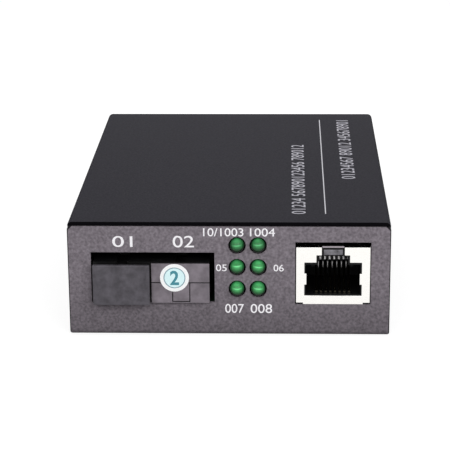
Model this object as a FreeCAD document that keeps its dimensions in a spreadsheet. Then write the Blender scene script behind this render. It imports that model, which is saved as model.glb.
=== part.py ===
import FreeCAD, Part
import math
import os
import re
import Sketcher

# Fibre media converter: a folded two-piece steel case with a circuit board, an optical
# transceiver, a network jack, six indicator lamps and a power jack inside.
# Frame: origin at the centre of the case's underside, +X to the right seen from the front,
# +Y towards the rear, +Z up. Lengths are in millimetres.

SIZES = {
    # case
    "case_width": 70.0,
    "case_depth": 95.0,
    "head_room": 5.6,
    "sheet": 0.8,
    "fold_inside": 0.4,
    "panel_corner": 0.8,
    "cover_gap": 0.2,
    "side_gap": 0.1,
    "end_gap": 0.15,
    "cover_lift": 0.2,
    "flange_height": 4.6,
    "flange_relief": 1.0,
    "ear_height": 14.0,
    "ear_width": 12.0,
    # side vents
    "vent_count": 5,
    "vent_pitch": 3.4,
    "vent_place": 18.0,
    "vent_width": 1.8,
    "vent_bottom": 6.5,
    "vent_top": 20.5,
    "vent_cut": 0.5,
    # screws
    "screw_radius": 1.5,
    "thread_gap": 0.05,
    "cover_head_radius": 2.4,
    "cover_screw_length": 4.0,
    "cover_screw_height": 10.5,
    "pan_head_radius": 2.75,
    "pan_head_height": 1.9,
    # circuit board and what holds it
    "board_side_gap": 1.3,
    "board_end_gap": 0.7,
    "board_thickness": 1.6,
    "standoff_height": 5.0,
    "standoff_flats": 5.0,
    "mount_hole_radius": 1.65,
    "mount_inset": 4.0,
    "front_mount": 42.5,
    "rear_mount": 6.5,
    # optical transceiver
    "module_margin": 5.4,
    "module_width": 25.4,
    "module_lift": 0.35,
    "module_length": 37.0,
    "module_setback": 0.4,
    "nose_height": 9.05,
    "nose_length": 13.0,
    "hood_height": 10.4,
    "port_pitch": 12.7,
    "port_width": 9.1,
    "port_height": 7.5,
    "port_depth": 11.0,
    "key_width": 2.4,
    "key_depth": 7.0,
    "opening_left": 0.4,
    "opening_right": 1.1,
    "opening_above": 2.3,
    "opening_below": 0.1,
    "hood_wall": 1.0,
    "base_thickness": 0.8,
    "pin_width": 0.5,
    "pin_pitch": 2.54,
    "pin_count": 9,
    "pin_tail": 1.2,
    "pin_row": 3.4,
    "post_width": 1.8,
    "post_inset": 3.2,
    "post_row": 8.0,
    "module_board_rise": 3.2,
    "module_board_thickness": 1.0,
    "hole_gap": 0.15,
    # optical barrel and latch clip
    "barrel_radius": 1.7,
    "barrel_bore": 1.27,
    "barrel_reach": 5.2,
    "can_radius": 2.9,
    "can_length": 9.0,
    "clip_thickness": 1.0,
    "hook_spread": 2.5,
    "hook_thickness": 0.7,
    "hook_height": 3.4,
    "hook_barb": 0.35,
    # port blank, sticker and dust plug
    "blank_proud": 0.8,
    "plug_proud": 2.4,
    "face_gap": 0.1,
    "plug_side_gap": 0.25,
    "plug_cap": 1.0,
    "plug_fit": 0.12,
    "plug_wall": 0.8,
    "plug_reach": 8.5,
    "blank_reach": 6.0,
    "groove_width": 0.2,
    "groove_depth": 0.35,
    "tongue_width": 3.75,
    "tongue_height": 4.35,
    "tongue_shift": 0.17,
    "tongue_line": 0.12,
    "sticker_radius": 3.15,
    "sticker_thickness": 0.1,
    "sticker_shift": 1.23,
    "sticker_rise": 1.3,
    # network jack
    "jack_margin": 4.4,
    "jack_width": 16.0,
    "jack_height": 13.0,
    "jack_depth": 16.0,
    "jack_proud": 0.2,
    "jack_lift": 0.35,
    "jack_opening_side": 0.2,
    "jack_opening_above": 1.1,
    "jack_opening_below": 0.1,
    "shield": 0.25,
    "shield_gap": 0.05,
    "lip_width": 13.0,
    "lip_drop": 0.35,
    "mouth_width": 12.45,
    "mouth_rise": 1.95,
    "mouth_height": 7.6,
    "step_width": 7.25,
    "step_height": 1.65,
    "notch_width": 4.95,
    "lug_height": 2.5,
    "lug_reach": 0.45,
    "cavity_width": 11.9,
    "cavity_rise": 2.2,
    "cavity_height": 6.8,
    "cavity_depth": 13.0,
    "channel_width": 6.5,
    "channel_height": 2.0,
    "channel_depth": 9.0,
    "comb_start": 8.2,
    "comb_height": 3.2,
    "contact_count": 8,
    "contact_pitch": 1.016,
    "contact_width": 0.46,
    "contact_thickness": 0.3,
    "contact_gap": 0.07,
    "contact_root": 1.6,
    "contact_rise": 5.2,
    "contact_bend": 0.45,
    "contact_sink": 1.05,
    "tail_row": 11.0,
    "tail_row_step": 2.54,
    "slot_margin": 0.25,
    "peg_width": 3.0,
    "peg_spread": 5.7,
    "peg_place": 7.0,
    "leg_width": 1.5,
    "leg_place": 10.0,
    # indicator lamps
    "lamp_radius": 1.6,
    "lamp_hole_radius": 1.9,
    "lamp_proud": 0.7,
    "lamp_bevel": 0.6,
    "lamp_pitch_across": 4.56,
    "lamp_pitch_up": 4.97,
    "lamp_rise": 3.4,
    "lamp_offset": 1.12,
    "lamp_gap": 0.05,
    "lamp_seat": 3.0,
    "lamp_row_step": 1.6,
    "lead_setback": 0.8,
    "holder_width": 4.3,
    "holder_gap": 0.4,
    "holder_depth": 6.5,
    "holder_margin": 2.3,
    "lead_width": 0.5,
    "lead_spread": 1.27,
    # power jack
    "power_margin": 10.5,
    "power_width": 9.0,
    "power_height": 11.0,
    "power_depth": 14.2,
    "power_gap": 0.25,
    "power_axis": 6.5,
    "power_bore": 3.15,
    "power_bore_depth": 9.5,
    "power_pin": 1.05,
    "power_stem": 0.8,
    "power_pin_inset": 0.6,
    "power_hole_radius": 3.9,
    "power_corner": 2.5,
    "power_tail_end": 0.8,
    "spring_thickness": 0.3,
    "spring_width": 2.4,
    "spring_reach": 0.5,
    "power_tab_width": 2.4,
    "power_tab_thickness": 0.5,
    # board parts
    "chip_side": 12.0,
    "chip_height": 1.4,
    "chip_stand": 0.15,
    "chip_leads": 9,
    "chip_lead_pitch": 1.1,
    "chip_lead_width": 0.4,
    "chip_lead_thickness": 0.2,
    "chip_lead_reach": 1.2,
    "chip_place": 6.5,
    "row_gap": 1.5,
    "transformer_width": 12.7,
    "transformer_depth": 7.0,
    "transformer_height": 5.6,
    "transformer_leads": 8,
    "transformer_pitch": 1.27,
    "transformer_reach": 1.4,
    "transformer_from_front": 25.5,
    "crystal_length": 10.2,
    "crystal_width": 3.8,
    "crystal_height": 3.5,
    "crystal_cut": 1.0,
    "capacitor_radius": 3.15,
    "capacitor_height": 8.0,
    "choke_side": 7.0,
    "choke_height": 4.0,
    "choke_cut": 1.5,
    "regulator_width": 6.5,
    "regulator_depth": 3.5,
    "regulator_height": 1.6,
    "part_gap": 0.02,
    "resistor_length": 1.6,
    "resistor_width": 0.8,
    "resistor_height": 0.5,
    "resistor_count": 7,
    "ceramic_count": 6,
}

FRONT = "(-case_depth / 2)"
REAR = "(case_depth / 2)"
SIDE = "(case_width / 2)"
FOLD_OUTSIDE = "(fold_inside + sheet)"
CASE_TOP = "(sheet + standoff_height + board_thickness + jack_height + head_room)"
PANEL_TOP = f"({CASE_TOP} - sheet - cover_gap)"
FLANGE_FACE = "(case_width / 2 - sheet - side_gap)"
BOARD_SIDE = f"({FLANGE_FACE} - sheet - board_side_gap)"
BOARD_BOTTOM = "(sheet + standoff_height)"
BOARD_TOP = "(sheet + standoff_height + board_thickness)"
MODULE_X = "(module_margin + module_width / 2 - case_width / 2)"
MODULE_LEFT = "(module_margin - case_width / 2)"
MODULE_RIGHT = "(module_margin + module_width - case_width / 2)"
MODULE_FRONT = "(module_setback - case_depth / 2)"
MODULE_BOTTOM = f"({BOARD_TOP} + module_lift)"
PORT_Z = f"({MODULE_BOTTOM} + nose_height / 2)"
PORT_X = f"({MODULE_X} - port_pitch / 2)"
BLANK_X = f"({MODULE_X} + port_pitch / 2)"
JACK_X = "(case_width / 2 - jack_margin - jack_width / 2)"
JACK_LEFT = "(case_width / 2 - jack_margin - jack_width)"
JACK_TOP = f"({BOARD_TOP} + jack_height)"
JACK_FRONT = "(-case_depth / 2 - jack_proud)"
JACK_BACK = f"({JACK_FRONT} + jack_depth)"
LAMP_X = f"(({MODULE_RIGHT} + {JACK_LEFT}) / 2 - lamp_offset - lamp_pitch_across / 2)"
MOUTH_BOTTOM = f"({BOARD_TOP} + mouth_rise)"
CAVITY_BOTTOM = f"({BOARD_TOP} + cavity_rise)"
LAMP_LOWEST = f"({BOARD_TOP} + lamp_rise)"
LAMP_SETBACK = f"({FRONT} + sheet + holder_gap)"
POWER_X = "(power_margin + power_width / 2 - case_width / 2)"
POWER_REAR = "(case_depth / 2 - sheet - power_gap)"
POWER_Z = f"({BOARD_TOP} + power_axis)"

doc = FreeCAD.newDocument("media_converter")
table = doc.addObject("Spreadsheet::Sheet", "sizes")
sub_parts = []


def fill_table():
    for row, (name, size) in enumerate(SIZES.items(), 1):
        table.set(f"A{row}", name)
        table.set(f"B{row}", str(size))
        table.setAlias(f"B{row}", name)
    doc.recompute()


def with_names(text, write):
    return re.sub(
        r"[a-z_]+", lambda m: write(m.group(0)) if m.group(0) in SIZES else m.group(0), text,
    )


def named(text):
    """A formula of plain size names, written for setExpression."""
    return with_names(text, lambda name: f"sizes.{name}")


def worth(text):
    """The same formula's number, for a sketch's first guess."""
    return FreeCAD.Units.Quantity(with_names(text, lambda name: f"({SIZES[name]})")).Value


def bind(thing, prop, text):
    thing.setExpression(prop, named(text))


# Loops to draw: a circle, or corners in order, where a corner reached by an arc
# also gives the arc's radius and the side it turns to.
def circle(x, y, radius):
    return {"centre": (x, y), "radius": radius}


def corners(*points):
    return {"corners": points}


def rectangle(left, right, bottom, top):
    return corners((left, bottom), (right, bottom), (right, top), (left, top))


def centred(x, y, half_x, half_y):
    return rectangle(f"{x} - {half_x}", f"{x} + {half_x}", f"{y} - {half_y}", f"{y} + {half_y}")


def square(x, y, half):
    return centred(x, y, half, half)


def rounded(left, right, bottom, top, radius):
    return corners(
        (f"{left} + {radius}", bottom), (f"{right} - {radius}", bottom),
        (right, f"{bottom} + {radius}", radius, "left"), (right, f"{top} - {radius}"),
        (f"{right} - {radius}", top, radius, "left"), (f"{left} + {radius}", top),
        (left, f"{top} - {radius}", radius, "left"), (left, f"{bottom} + {radius}"),
        (f"{left} + {radius}", bottom, radius, "left"),
    )


def chamfered(left, right, bottom, top, cut):
    return corners(
        (f"{left} + {cut}", bottom), (f"{right} - {cut}", bottom), (right, f"{bottom} + {cut}"),
        (right, f"{top} - {cut}"), (f"{right} - {cut}", top), (f"{left} + {cut}", top),
        (left, f"{top} - {cut}"), (left, f"{bottom} + {cut}"),
    )


def fix_point(sketch, item, end, x, y):
    for kind, text in (("DistanceX", x), ("DistanceY", y)):
        number = sketch.addConstraint(Sketcher.Constraint(kind, -1, 1, item, end, worth(text)))
        sketch.setExpression(f"Constraints[{number}]", named(text))


def fix_radius(sketch, item, text):
    number = sketch.addConstraint(Sketcher.Constraint("Radius", item, worth(text)))
    sketch.setExpression(f"Constraints[{number}]", named(text))


def arc_between(start, end, radius, turn):
    middle = (start + end) * 0.5
    along = end - start
    inset = math.sqrt(max(radius**2 - (along.Length / 2) ** 2, 0))
    across = FreeCAD.Vector(-along.y, along.x, 0).normalize()
    centre = middle + across * (inset if turn == "left" else -inset)
    angles = [math.atan2(p.y - centre.y, p.x - centre.x) for p in (start, end)]
    if turn == "right":
        angles.reverse()
    if angles[1] <= angles[0]:
        angles[1] += 2 * math.pi
    return Part.ArcOfCircle(Part.Circle(centre, FreeCAD.Vector(0, 0, 1), radius), *angles)


def draw_corners(sketch, points):
    # a last corner that repeats the first closes the loop with an arc
    closing = points[-1] if points[-1][:2] == points[0][:2] else points[0]
    points = points[:-1] if points[-1][:2] == points[0][:2] else points
    first = sketch.GeometryCount
    spots = [FreeCAD.Vector(worth(p[0]), worth(p[1]), 0) for p in points]
    ends = []
    for i, point in enumerate(points):
        target = points[i + 1] if i + 1 < len(points) else closing
        start, end = spots[i], spots[(i + 1) % len(points)]
        if len(target) == 2:
            item = sketch.addGeometry(Part.LineSegment(start, end))
            ends.append((1, 2))
        else:
            item = sketch.addGeometry(arc_between(start, end, worth(target[2]), target[3]))
            ends.append((1, 2) if target[3] == "left" else (2, 1))
    for i in range(len(points)):
        after = (i + 1) % len(points)
        sketch.addConstraint(
            Sketcher.Constraint("Coincident", first + i, ends[i][1], first + after, ends[after][0])
        )
    for i, point in enumerate(points):
        target = points[i + 1] if i + 1 < len(points) else closing
        fix_point(sketch, first + i, ends[i][0], point[0], point[1])
        if len(target) > 2:
            fix_radius(sketch, first + i, target[2])


def draw(sketch, loop):
    if "radius" in loop:
        x, y = loop["centre"]
        centre = FreeCAD.Vector(worth(x), worth(y), 0)
        item = sketch.addGeometry(
            Part.Circle(centre, FreeCAD.Vector(0, 0, 1), worth(loop["radius"]))
        )
        fix_point(sketch, item, 3, x, y)
        fix_radius(sketch, item, loop["radius"])
    else:
        draw_corners(sketch, loop["corners"])


def new_body(name):
    body = doc.addObject("PartDesign::Body", name)
    body.Label = name
    return body


def new_sketch(body, name, plane, offset, loops):
    sketch = body.newObject("Sketcher::SketchObject", name)
    side = next(f for f in body.Origin.OriginFeatures if f.Role == f"{plane}_Plane")
    sketch.AttachmentSupport = [(side, "")]
    sketch.MapMode = "FlatFace"
    bind(sketch, "AttachmentOffset.Base.z", offset)
    for loop in loops:
        draw(sketch, loop)
    return sketch


# The XZ plane faces -Y, so there a pad grows towards -Y and a pocket cuts towards +Y.
def pad(body, name, plane, low, high, *loops):
    offset = f"-({high})" if plane == "XZ" else low
    feature = body.newObject("PartDesign::Pad", name)
    feature.Profile = new_sketch(body, f"{name}_sketch", plane, offset, loops)
    bind(feature, "Length", f"({high}) - ({low})")
    body.Tip = feature
    return feature


def pocket(body, name, plane, low, high, *loops):
    offset = f"-({low})" if plane == "XZ" else high
    sketch = new_sketch(body, f"{name}_sketch", plane, offset, loops)
    feature = body.newObject("PartDesign::Pocket", name)
    feature.Profile = sketch
    bind(feature, "Length", f"({high}) - ({low})")
    body.Tip = feature
    return feature


def repeat(body, name, feature, axis, pitch, count):
    pattern = body.newObject("PartDesign::LinearPattern", name)
    pattern.Originals = [feature]
    line = next(f for f in body.Origin.OriginFeatures if f.Role == f"{axis}_Axis")
    pattern.Direction = (line, [""])
    pattern.Mode = "Spacing"
    bind(pattern, "Offset", pitch)
    bind(pattern, "Occurrences", count)
    body.Tip = pattern
    return pattern


def mirror(body, name, plane, *features):
    twin = body.newObject("PartDesign::Mirrored", name)
    twin.Originals = list(features)
    side = next(f for f in body.Origin.OriginFeatures if f.Role == f"{plane}_Plane")
    twin.MirrorPlane = (side, [""])
    body.Tip = twin
    return twin


def turn(body, name, loop, plane="XZ", axis="V_Axis", offset="0"):
    """A solid of revolution about the sketch's own upright or level axis."""
    sketch = new_sketch(body, f"{name}_sketch", plane, offset, [loop])
    feature = body.newObject("PartDesign::Revolution", name)
    feature.Profile = sketch
    feature.ReferenceAxis = (sketch, [axis])
    feature.Angle = 360
    body.Tip = feature
    return feature


def edges_along(shape, run, **places):
    """Names of the straight edges that run along one axis at the given places."""
    found = []
    for number, edge in enumerate(shape.Edges, 1):
        ends = [v.Point for v in edge.Vertexes]
        if len(ends) < 2 or edge.Curve.TypeId != "Part::GeomLine":
            continue
        direction = ends[1] - ends[0]
        if abs(getattr(direction, run)) < 0.999 * direction.Length:
            continue
        if all(
            min(abs(getattr(ends[0], a) - worth(t)) for t in texts) < 1e-4
            for a, texts in places.items()
        ):
            found.append(f"Edge{number}")
    return found


def round_edges(body, name, radius, kind, run, **places):
    doc.recompute()
    base = body.Tip
    feature = body.newObject(f"PartDesign::{kind}", name)
    feature.Base = (base, edges_along(base.Shape, run, **places))
    bind(feature, "Radius" if kind == "Fillet" else "Size", radius)
    body.Tip = feature
    return feature


def keep(thing, name=None):
    """Marks an object as a finished sub-part, which its Label names."""
    thing.Label = name or thing.Label
    sub_parts.append(thing)
    return thing


def copies(name, master, places):
    """One sub-part made of separate copies of a master, each at (x, y, z) with a rotation."""
    links = []
    for number, (x, y, z, rotation) in enumerate(places, 1):
        link = doc.addObject("App::Link", f"{name}_{number}")
        link.LinkedObject = master
        link.Placement = FreeCAD.Placement(FreeCAD.Vector(), rotation)
        for axis, text in zip("xyz", (x, y, z)):
            bind(link, f"Placement.Base.{axis}", text)
        links.append(link)
    group = doc.addObject("Part::Compound", name)
    group.Links = links
    return keep(group, name)


UPRIGHT = FreeCAD.Rotation()
MOUNT_SPOTS = [
    (f"{side} * ({BOARD_SIDE} - mount_inset)", place)
    for side in ("-1", "1")
    for place in (f"{FRONT} + front_mount", f"{REAR} - rear_mount")
]
LAMP_SPOTS = [
    (f"{LAMP_X} + {column} * lamp_pitch_across", f"{LAMP_LOWEST} + {row} * lamp_pitch_up")
    for column in (0, 1)
    for row in (0, 1, 2)
]


def base_tray():
    body = new_body("base_tray")
    half = SIDE
    pad(body, "blank", "XZ", FRONT, REAR, rounded(f"-{half}", half, "0", PANEL_TOP, "panel_corner"))
    top = f"{PANEL_TOP} + sheet"
    pocket(
        body, "inside", "YZ", f"-{half} - sheet", f"{half} + sheet",
        corners(
            (f"{FRONT} + sheet", top), (f"{FRONT} + sheet", FOLD_OUTSIDE),
            (f"{FRONT} + {FOLD_OUTSIDE}", "sheet", "fold_inside", "left"),
            (f"{REAR} - {FOLD_OUTSIDE}", "sheet"),
            (f"{REAR} - sheet", FOLD_OUTSIDE, "fold_inside", "left"), (f"{REAR} - sheet", top),
        ),
    )
    pocket(
        body, "panel_folds", "YZ", f"-{half} - sheet", f"{half} + sheet",
        *[
            corners(
                (f"{sign}({half_depth})", "0"),
                (f"{sign}({half_depth} - {FOLD_OUTSIDE})", "0"),
                (f"{sign}({half_depth})", FOLD_OUTSIDE, FOLD_OUTSIDE, side),
            )
            for sign, half_depth, side in (
                ("-", "case_depth / 2", "right"), ("", "case_depth / 2", "left"),
            )
        ],
    )
    ends = (f"{FRONT} + {FOLD_OUTSIDE}", f"{REAR} - {FOLD_OUTSIDE}")
    pocket(
        body, "cover_room", "XY", "-sheet", PANEL_TOP,
        rectangle(FLANGE_FACE, f"{half} + sheet", *ends),
        rectangle(f"-{half} - sheet", f"-{FLANGE_FACE}", *ends),
    )
    flange = pad(body, "side_flange", "YZ", f"{FLANGE_FACE} - sheet", FLANGE_FACE, flange_outline())
    mirror(body, "flanges", "YZ", flange)
    round_edges(
        body, "flange_inner_fold", "fold_inside", "Fillet", "y",
        x=(f"{FLANGE_FACE} - sheet", f"-{FLANGE_FACE} + sheet"), z=("sheet",),
    )
    pocket(
        body, "flange_outer_folds", "XZ", *ends,
        corners(
            (FLANGE_FACE, "0"), (FLANGE_FACE, FOLD_OUTSIDE),
            (f"{FLANGE_FACE} - {FOLD_OUTSIDE}", "0", FOLD_OUTSIDE, "right"),
        ),
        corners(
            (f"-{FLANGE_FACE}", "0"), (f"-{FLANGE_FACE}", FOLD_OUTSIDE),
            (f"-{FLANGE_FACE} + {FOLD_OUTSIDE}", "0", FOLD_OUTSIDE, "left"),
        ),
    )
    pocket(
        body, "screw_holes", "YZ", f"-{half} - sheet", f"{half} + sheet",
        circle("0", "cover_screw_height", "screw_radius + thread_gap"),
    )
    pocket(
        body, "panel_openings", "XZ", f"{FRONT} - sheet", f"{FRONT} + 2 * sheet",
        rectangle(
            f"{MODULE_LEFT} - opening_left", f"{MODULE_RIGHT} + opening_right",
            f"{MODULE_BOTTOM} - opening_below", f"{MODULE_BOTTOM} + nose_height + opening_above",
        ),
        rectangle(
            f"{JACK_LEFT} - jack_opening_side", f"{JACK_LEFT} + jack_width + jack_opening_side",
            f"{BOARD_TOP} - jack_opening_below", f"{JACK_TOP} + jack_opening_above",
        ),
        *[circle(x, z, "lamp_hole_radius") for x, z in LAMP_SPOTS],
    )
    pocket(
        body, "power_hole", "XZ", f"{REAR} - 2 * sheet", f"{REAR} + sheet",
        circle(POWER_X, POWER_Z, "power_hole_radius"),
    )
    return keep(body)


def flange_outline():
    """A low flange with a tall ear behind the cover screw, in the side's plane."""
    start, end = (f"{s}({FRONT} + {FOLD_OUTSIDE} + flange_relief)" for s in ("", "-"))
    low, high, near, far = "flange_height", "ear_height", "-ear_width / 2", "ear_width / 2"
    return corners(
        (start, "0"), (end, "0"), (end, low), (far, low), (far, high), (near, high), (near, low),
        (start, low),
    )


def top_cover():
    body = new_body("top_cover")
    half, top, out = SIDE, CASE_TOP, FOLD_OUTSIDE
    pad(
        body, "folded_sheet", "XZ", FRONT, REAR,
        corners(
            (half, "cover_lift"), (half, f"{top} - {out}"), (f"{half} - {out}", top, out, "left"),
            (f"-{half} + {out}", top), (f"-{half}", f"{top} - {out}", out, "left"),
            (f"-{half}", "cover_lift"), (f"-{half} + sheet", "cover_lift"),
            (f"-{half} + sheet", f"{top} - {out}"),
            (f"-{half} + {out}", f"{top} - sheet", "fold_inside", "right"),
            (f"{half} - {out}", f"{top} - sheet"),
            (f"{half} - sheet", f"{top} - {out}", "fold_inside", "right"),
            (f"{half} - sheet", "cover_lift"),
        ),
    )
    # the sides stop behind the panels, whose full width shows at both ends
    relief = pocket(
        body, "panel_room", "XZ", f"{FRONT} - sheet", f"{FRONT} + {out} + end_gap",
        rectangle(f"-{half} - sheet", f"{half} + sheet", "-sheet", f"{top} - sheet"),
    )
    mirror(body, "panel_rooms", "XZ", relief)
    # a row of slots on each side of the screw, filled from its front end
    for name, middle in (("front", "-vent_place"), ("rear", "vent_place")):
        first = f"({middle} - (vent_count - 1) * vent_pitch / 2)"
        slot = pocket(
            body, f"{name}_vent", "YZ", f"-{half} - sheet", f"{half} + sheet",
            chamfered(
                f"{first} - vent_width / 2", f"{first} + vent_width / 2", "vent_bottom",
                "vent_top", "vent_cut",
            ),
        )
        repeat(body, f"{name}_vents", slot, "Y", "vent_pitch", "vent_count")
    # 45 degree countersinks take the screw heads flush with the sides
    rim = "(cover_head_radius + thread_gap)"
    sketch = new_sketch(
        body, "countersink_sketch", "XY", "cover_screw_height",
        [
            corners(
                (half, "0"), (half, rim), (f"{half} - sheet", f"{rim} - sheet"),
                (f"{half} - sheet", "0"),
            )
        ],
    )
    sink = body.newObject("PartDesign::Groove", "countersink")
    sink.Profile = sketch
    sink.ReferenceAxis = (sketch, ["Edge4"])
    sink.Angle = 360
    body.Tip = sink
    mirror(body, "countersinks", "YZ", sink)
    return keep(body)


def cover_screws():
    screw = new_body("cover_screw")
    turn(
        screw, "screw_form",
        corners(
            ("0", "0"), ("cover_head_radius", "0"),
            ("screw_radius", "screw_radius - cover_head_radius"),
            ("screw_radius", "-cover_screw_length"), ("0", "-cover_screw_length"),
        ),
    )
    return copies(
        "cover_screws", screw,
        [
            (
                f"{side} * {SIDE}", "0", "cover_screw_height",
                FreeCAD.Rotation(FreeCAD.Vector(0, 1, 0), 90 * side),
            )
            for side in (-1, 1)
        ],
    )


def board_standoffs():
    post = new_body("board_standoff")
    corner = "standoff_flats / sqrt(3)"
    flat, half = "standoff_flats / 2", "standoff_flats / sqrt(12)"
    pad(
        post, "hexagon", "XY", "sheet", BOARD_BOTTOM,
        corners(
            (flat, f"-{half}"), (flat, half), ("0", corner), (f"-{flat}", half),
            (f"-{flat}", f"-{half}"), ("0", f"-{corner}"),
        ),
    )
    return copies("board_standoffs", post, [(x, y, "0", UPRIGHT) for x, y in MOUNT_SPOTS])


# the thread below the board is left in the solid standoff
def board_screws():
    screw = new_body("board_screw")
    turn(
        screw, "screw_form",
        corners(
            ("0", "pan_head_height"), ("0", "-board_thickness"),
            ("screw_radius", "-board_thickness"), ("screw_radius", "0"),
            ("pan_head_radius", "0"), ("pan_head_radius", "pan_head_height"),
        ),
    )
    return copies("board_screws", screw, [(x, y, BOARD_TOP, UPRIGHT) for x, y in MOUNT_SPOTS])


LEAD_SPOTS = [
    (f"{LAMP_X} + {column} * lamp_pitch_across + {side} * lead_spread", row)
    for row in (0, 1, 2)
    for column in (0, 1)
    for side in ("-1", "1")
]
HOLDER_BACK = f"({LAMP_SETBACK} + holder_depth)"
PIN_ROW = f"({MODULE_FRONT} + module_length - pin_row)"
POST_SPOTS = [
    (
        f"{MODULE_X} + {side} * (module_width / 2 - post_inset)",
        f"{MODULE_FRONT} + nose_length + post_row",
    )
    for side in ("-1", "1")
]
PEG_SPOTS = [
    (f"{JACK_X} + {side} * peg_spread", f"{JACK_FRONT} + peg_place") for side in ("-1", "1")
]
LEG_SPOTS = [
    (f"{JACK_X} + {side} * (jack_width - shield) / 2", f"{JACK_FRONT} + leg_place")
    for side in ("-1", "1")
]
POWER_BACK = f"({POWER_REAR} - power_depth)"


def contact_x(number):
    return f"{JACK_X} + ({number} - (contact_count - 1) / 2) * contact_pitch"


def tail_y(number):
    return f"({JACK_FRONT} + tail_row + {number % 2} * tail_row_step)"


def lead_y(row):
    return f"({HOLDER_BACK} + lead_setback + {row} * lamp_row_step)"


def circuit_board():
    body = new_body("circuit_board")
    ends = (f"{FRONT} + sheet + board_end_gap", f"{REAR} - sheet - board_end_gap")
    pad(
        body, "laminate", "XY", BOARD_BOTTOM, BOARD_TOP,
        rectangle(f"-{BOARD_SIDE}", BOARD_SIDE, *ends),
    )
    holes = [circle(x, y, "mount_hole_radius") for x, y in MOUNT_SPOTS]
    holes += [square(x, y, "(peg_width / 2 + hole_gap)") for x, y in PEG_SPOTS]
    holes += [square(x, y, "(post_width / 2 + hole_gap)") for x, y in POST_SPOTS]
    holes += [centred(x, y, "shield", "(leg_width / 2 + hole_gap)") for x, y in LEG_SPOTS]
    holes += [square(x, lead_y(row), "(lead_width / 2 + hole_gap)") for x, row in LEAD_SPOTS]
    holes += [
        centred(
            POWER_X, place, "(power_tab_width / 2 + hole_gap)", "(power_tab_thickness + hole_gap)",
        )
        for place in (f"{POWER_BACK} - power_tail_end", f"{POWER_BACK} + power_tail_end")
    ]
    through = (f"{BOARD_BOTTOM} - sheet", f"{BOARD_TOP} + sheet")
    pocket(body, "lead_holes", "XY", *through, *holes)
    for number, name in ((0, "even"), (1, "odd")):
        hole = pocket(
            body, f"contact_hole_{name}", "XY", *through,
            square(contact_x(number), tail_y(number), "(contact_width / 2 + hole_gap)"),
        )
        repeat(body, f"contact_holes_{name}", hole, "X", "2 * contact_pitch", "contact_count / 2")
    first_pin = f"{MODULE_X} - (pin_count - 1) / 2 * pin_pitch"
    hole = pocket(
        body, "pin_hole", "XY", *through, square(first_pin, PIN_ROW, "(pin_width / 2 + hole_gap)"),
    )
    repeat(body, "pin_holes", hole, "X", "pin_pitch", "pin_count")
    return keep(body)


def transceiver_housing():
    body = new_body("transceiver_housing")
    nose_end = f"{MODULE_FRONT} + nose_length"
    hood_end = f"{MODULE_FRONT} + module_length"
    pad(
        body, "hood", "XZ", nose_end, hood_end,
        rectangle(MODULE_LEFT, MODULE_RIGHT, BOARD_TOP, f"{BOARD_TOP} + hood_height"),
    )
    pad(
        body, "nose", "XZ", MODULE_FRONT, f"{nose_end} + hood_wall",
        rectangle(MODULE_LEFT, MODULE_RIGHT, MODULE_BOTTOM, f"{MODULE_BOTTOM} + nose_height"),
    )
    pocket(
        body, "hood_inside", "XY", BOARD_TOP, f"{BOARD_TOP} + hood_height - hood_wall",
        rectangle(
            f"{MODULE_LEFT} + hood_wall", f"{MODULE_RIGHT} - hood_wall", f"{nose_end} + hood_wall",
            f"{hood_end} - hood_wall",
        ),
    )
    pad(
        body, "board_posts", "XY", BOARD_BOTTOM, f"{BOARD_TOP} + hood_height - hood_wall / 2",
        *[square(x, y, "post_width / 2") for x, y in POST_SPOTS],
    )
    half_width, half_height, half_key = "port_width / 2", "port_height / 2", "key_width / 2"
    pocket(
        body, "ports", "XZ", f"{MODULE_FRONT} - sheet", f"{MODULE_FRONT} + port_depth",
        *[
            rectangle(
                f"{x} - {half_width}", f"{x} + {half_width}", f"{PORT_Z} - {half_height}",
                f"{PORT_Z} + {half_height}",
            )
            for x in (PORT_X, BLANK_X)
        ],
    )
    pocket(
        body, "key_slots", "XZ", f"{MODULE_FRONT} - sheet", f"{MODULE_FRONT} + key_depth",
        *[
            rectangle(
                f"{x} - {half_key}", f"{x} + {half_key}", PORT_Z,
                f"{MODULE_BOTTOM} + nose_height + sheet",
            )
            for x in (PORT_X, BLANK_X)
        ],
    )
    pocket(
        body, "barrel_seat", "XZ", f"{MODULE_FRONT} + port_depth - sheet",
        f"{nose_end} + 2 * hood_wall",
        square(PORT_X, PORT_Z, "(can_radius + part_gap)"),
    )
    return keep(body)


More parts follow.
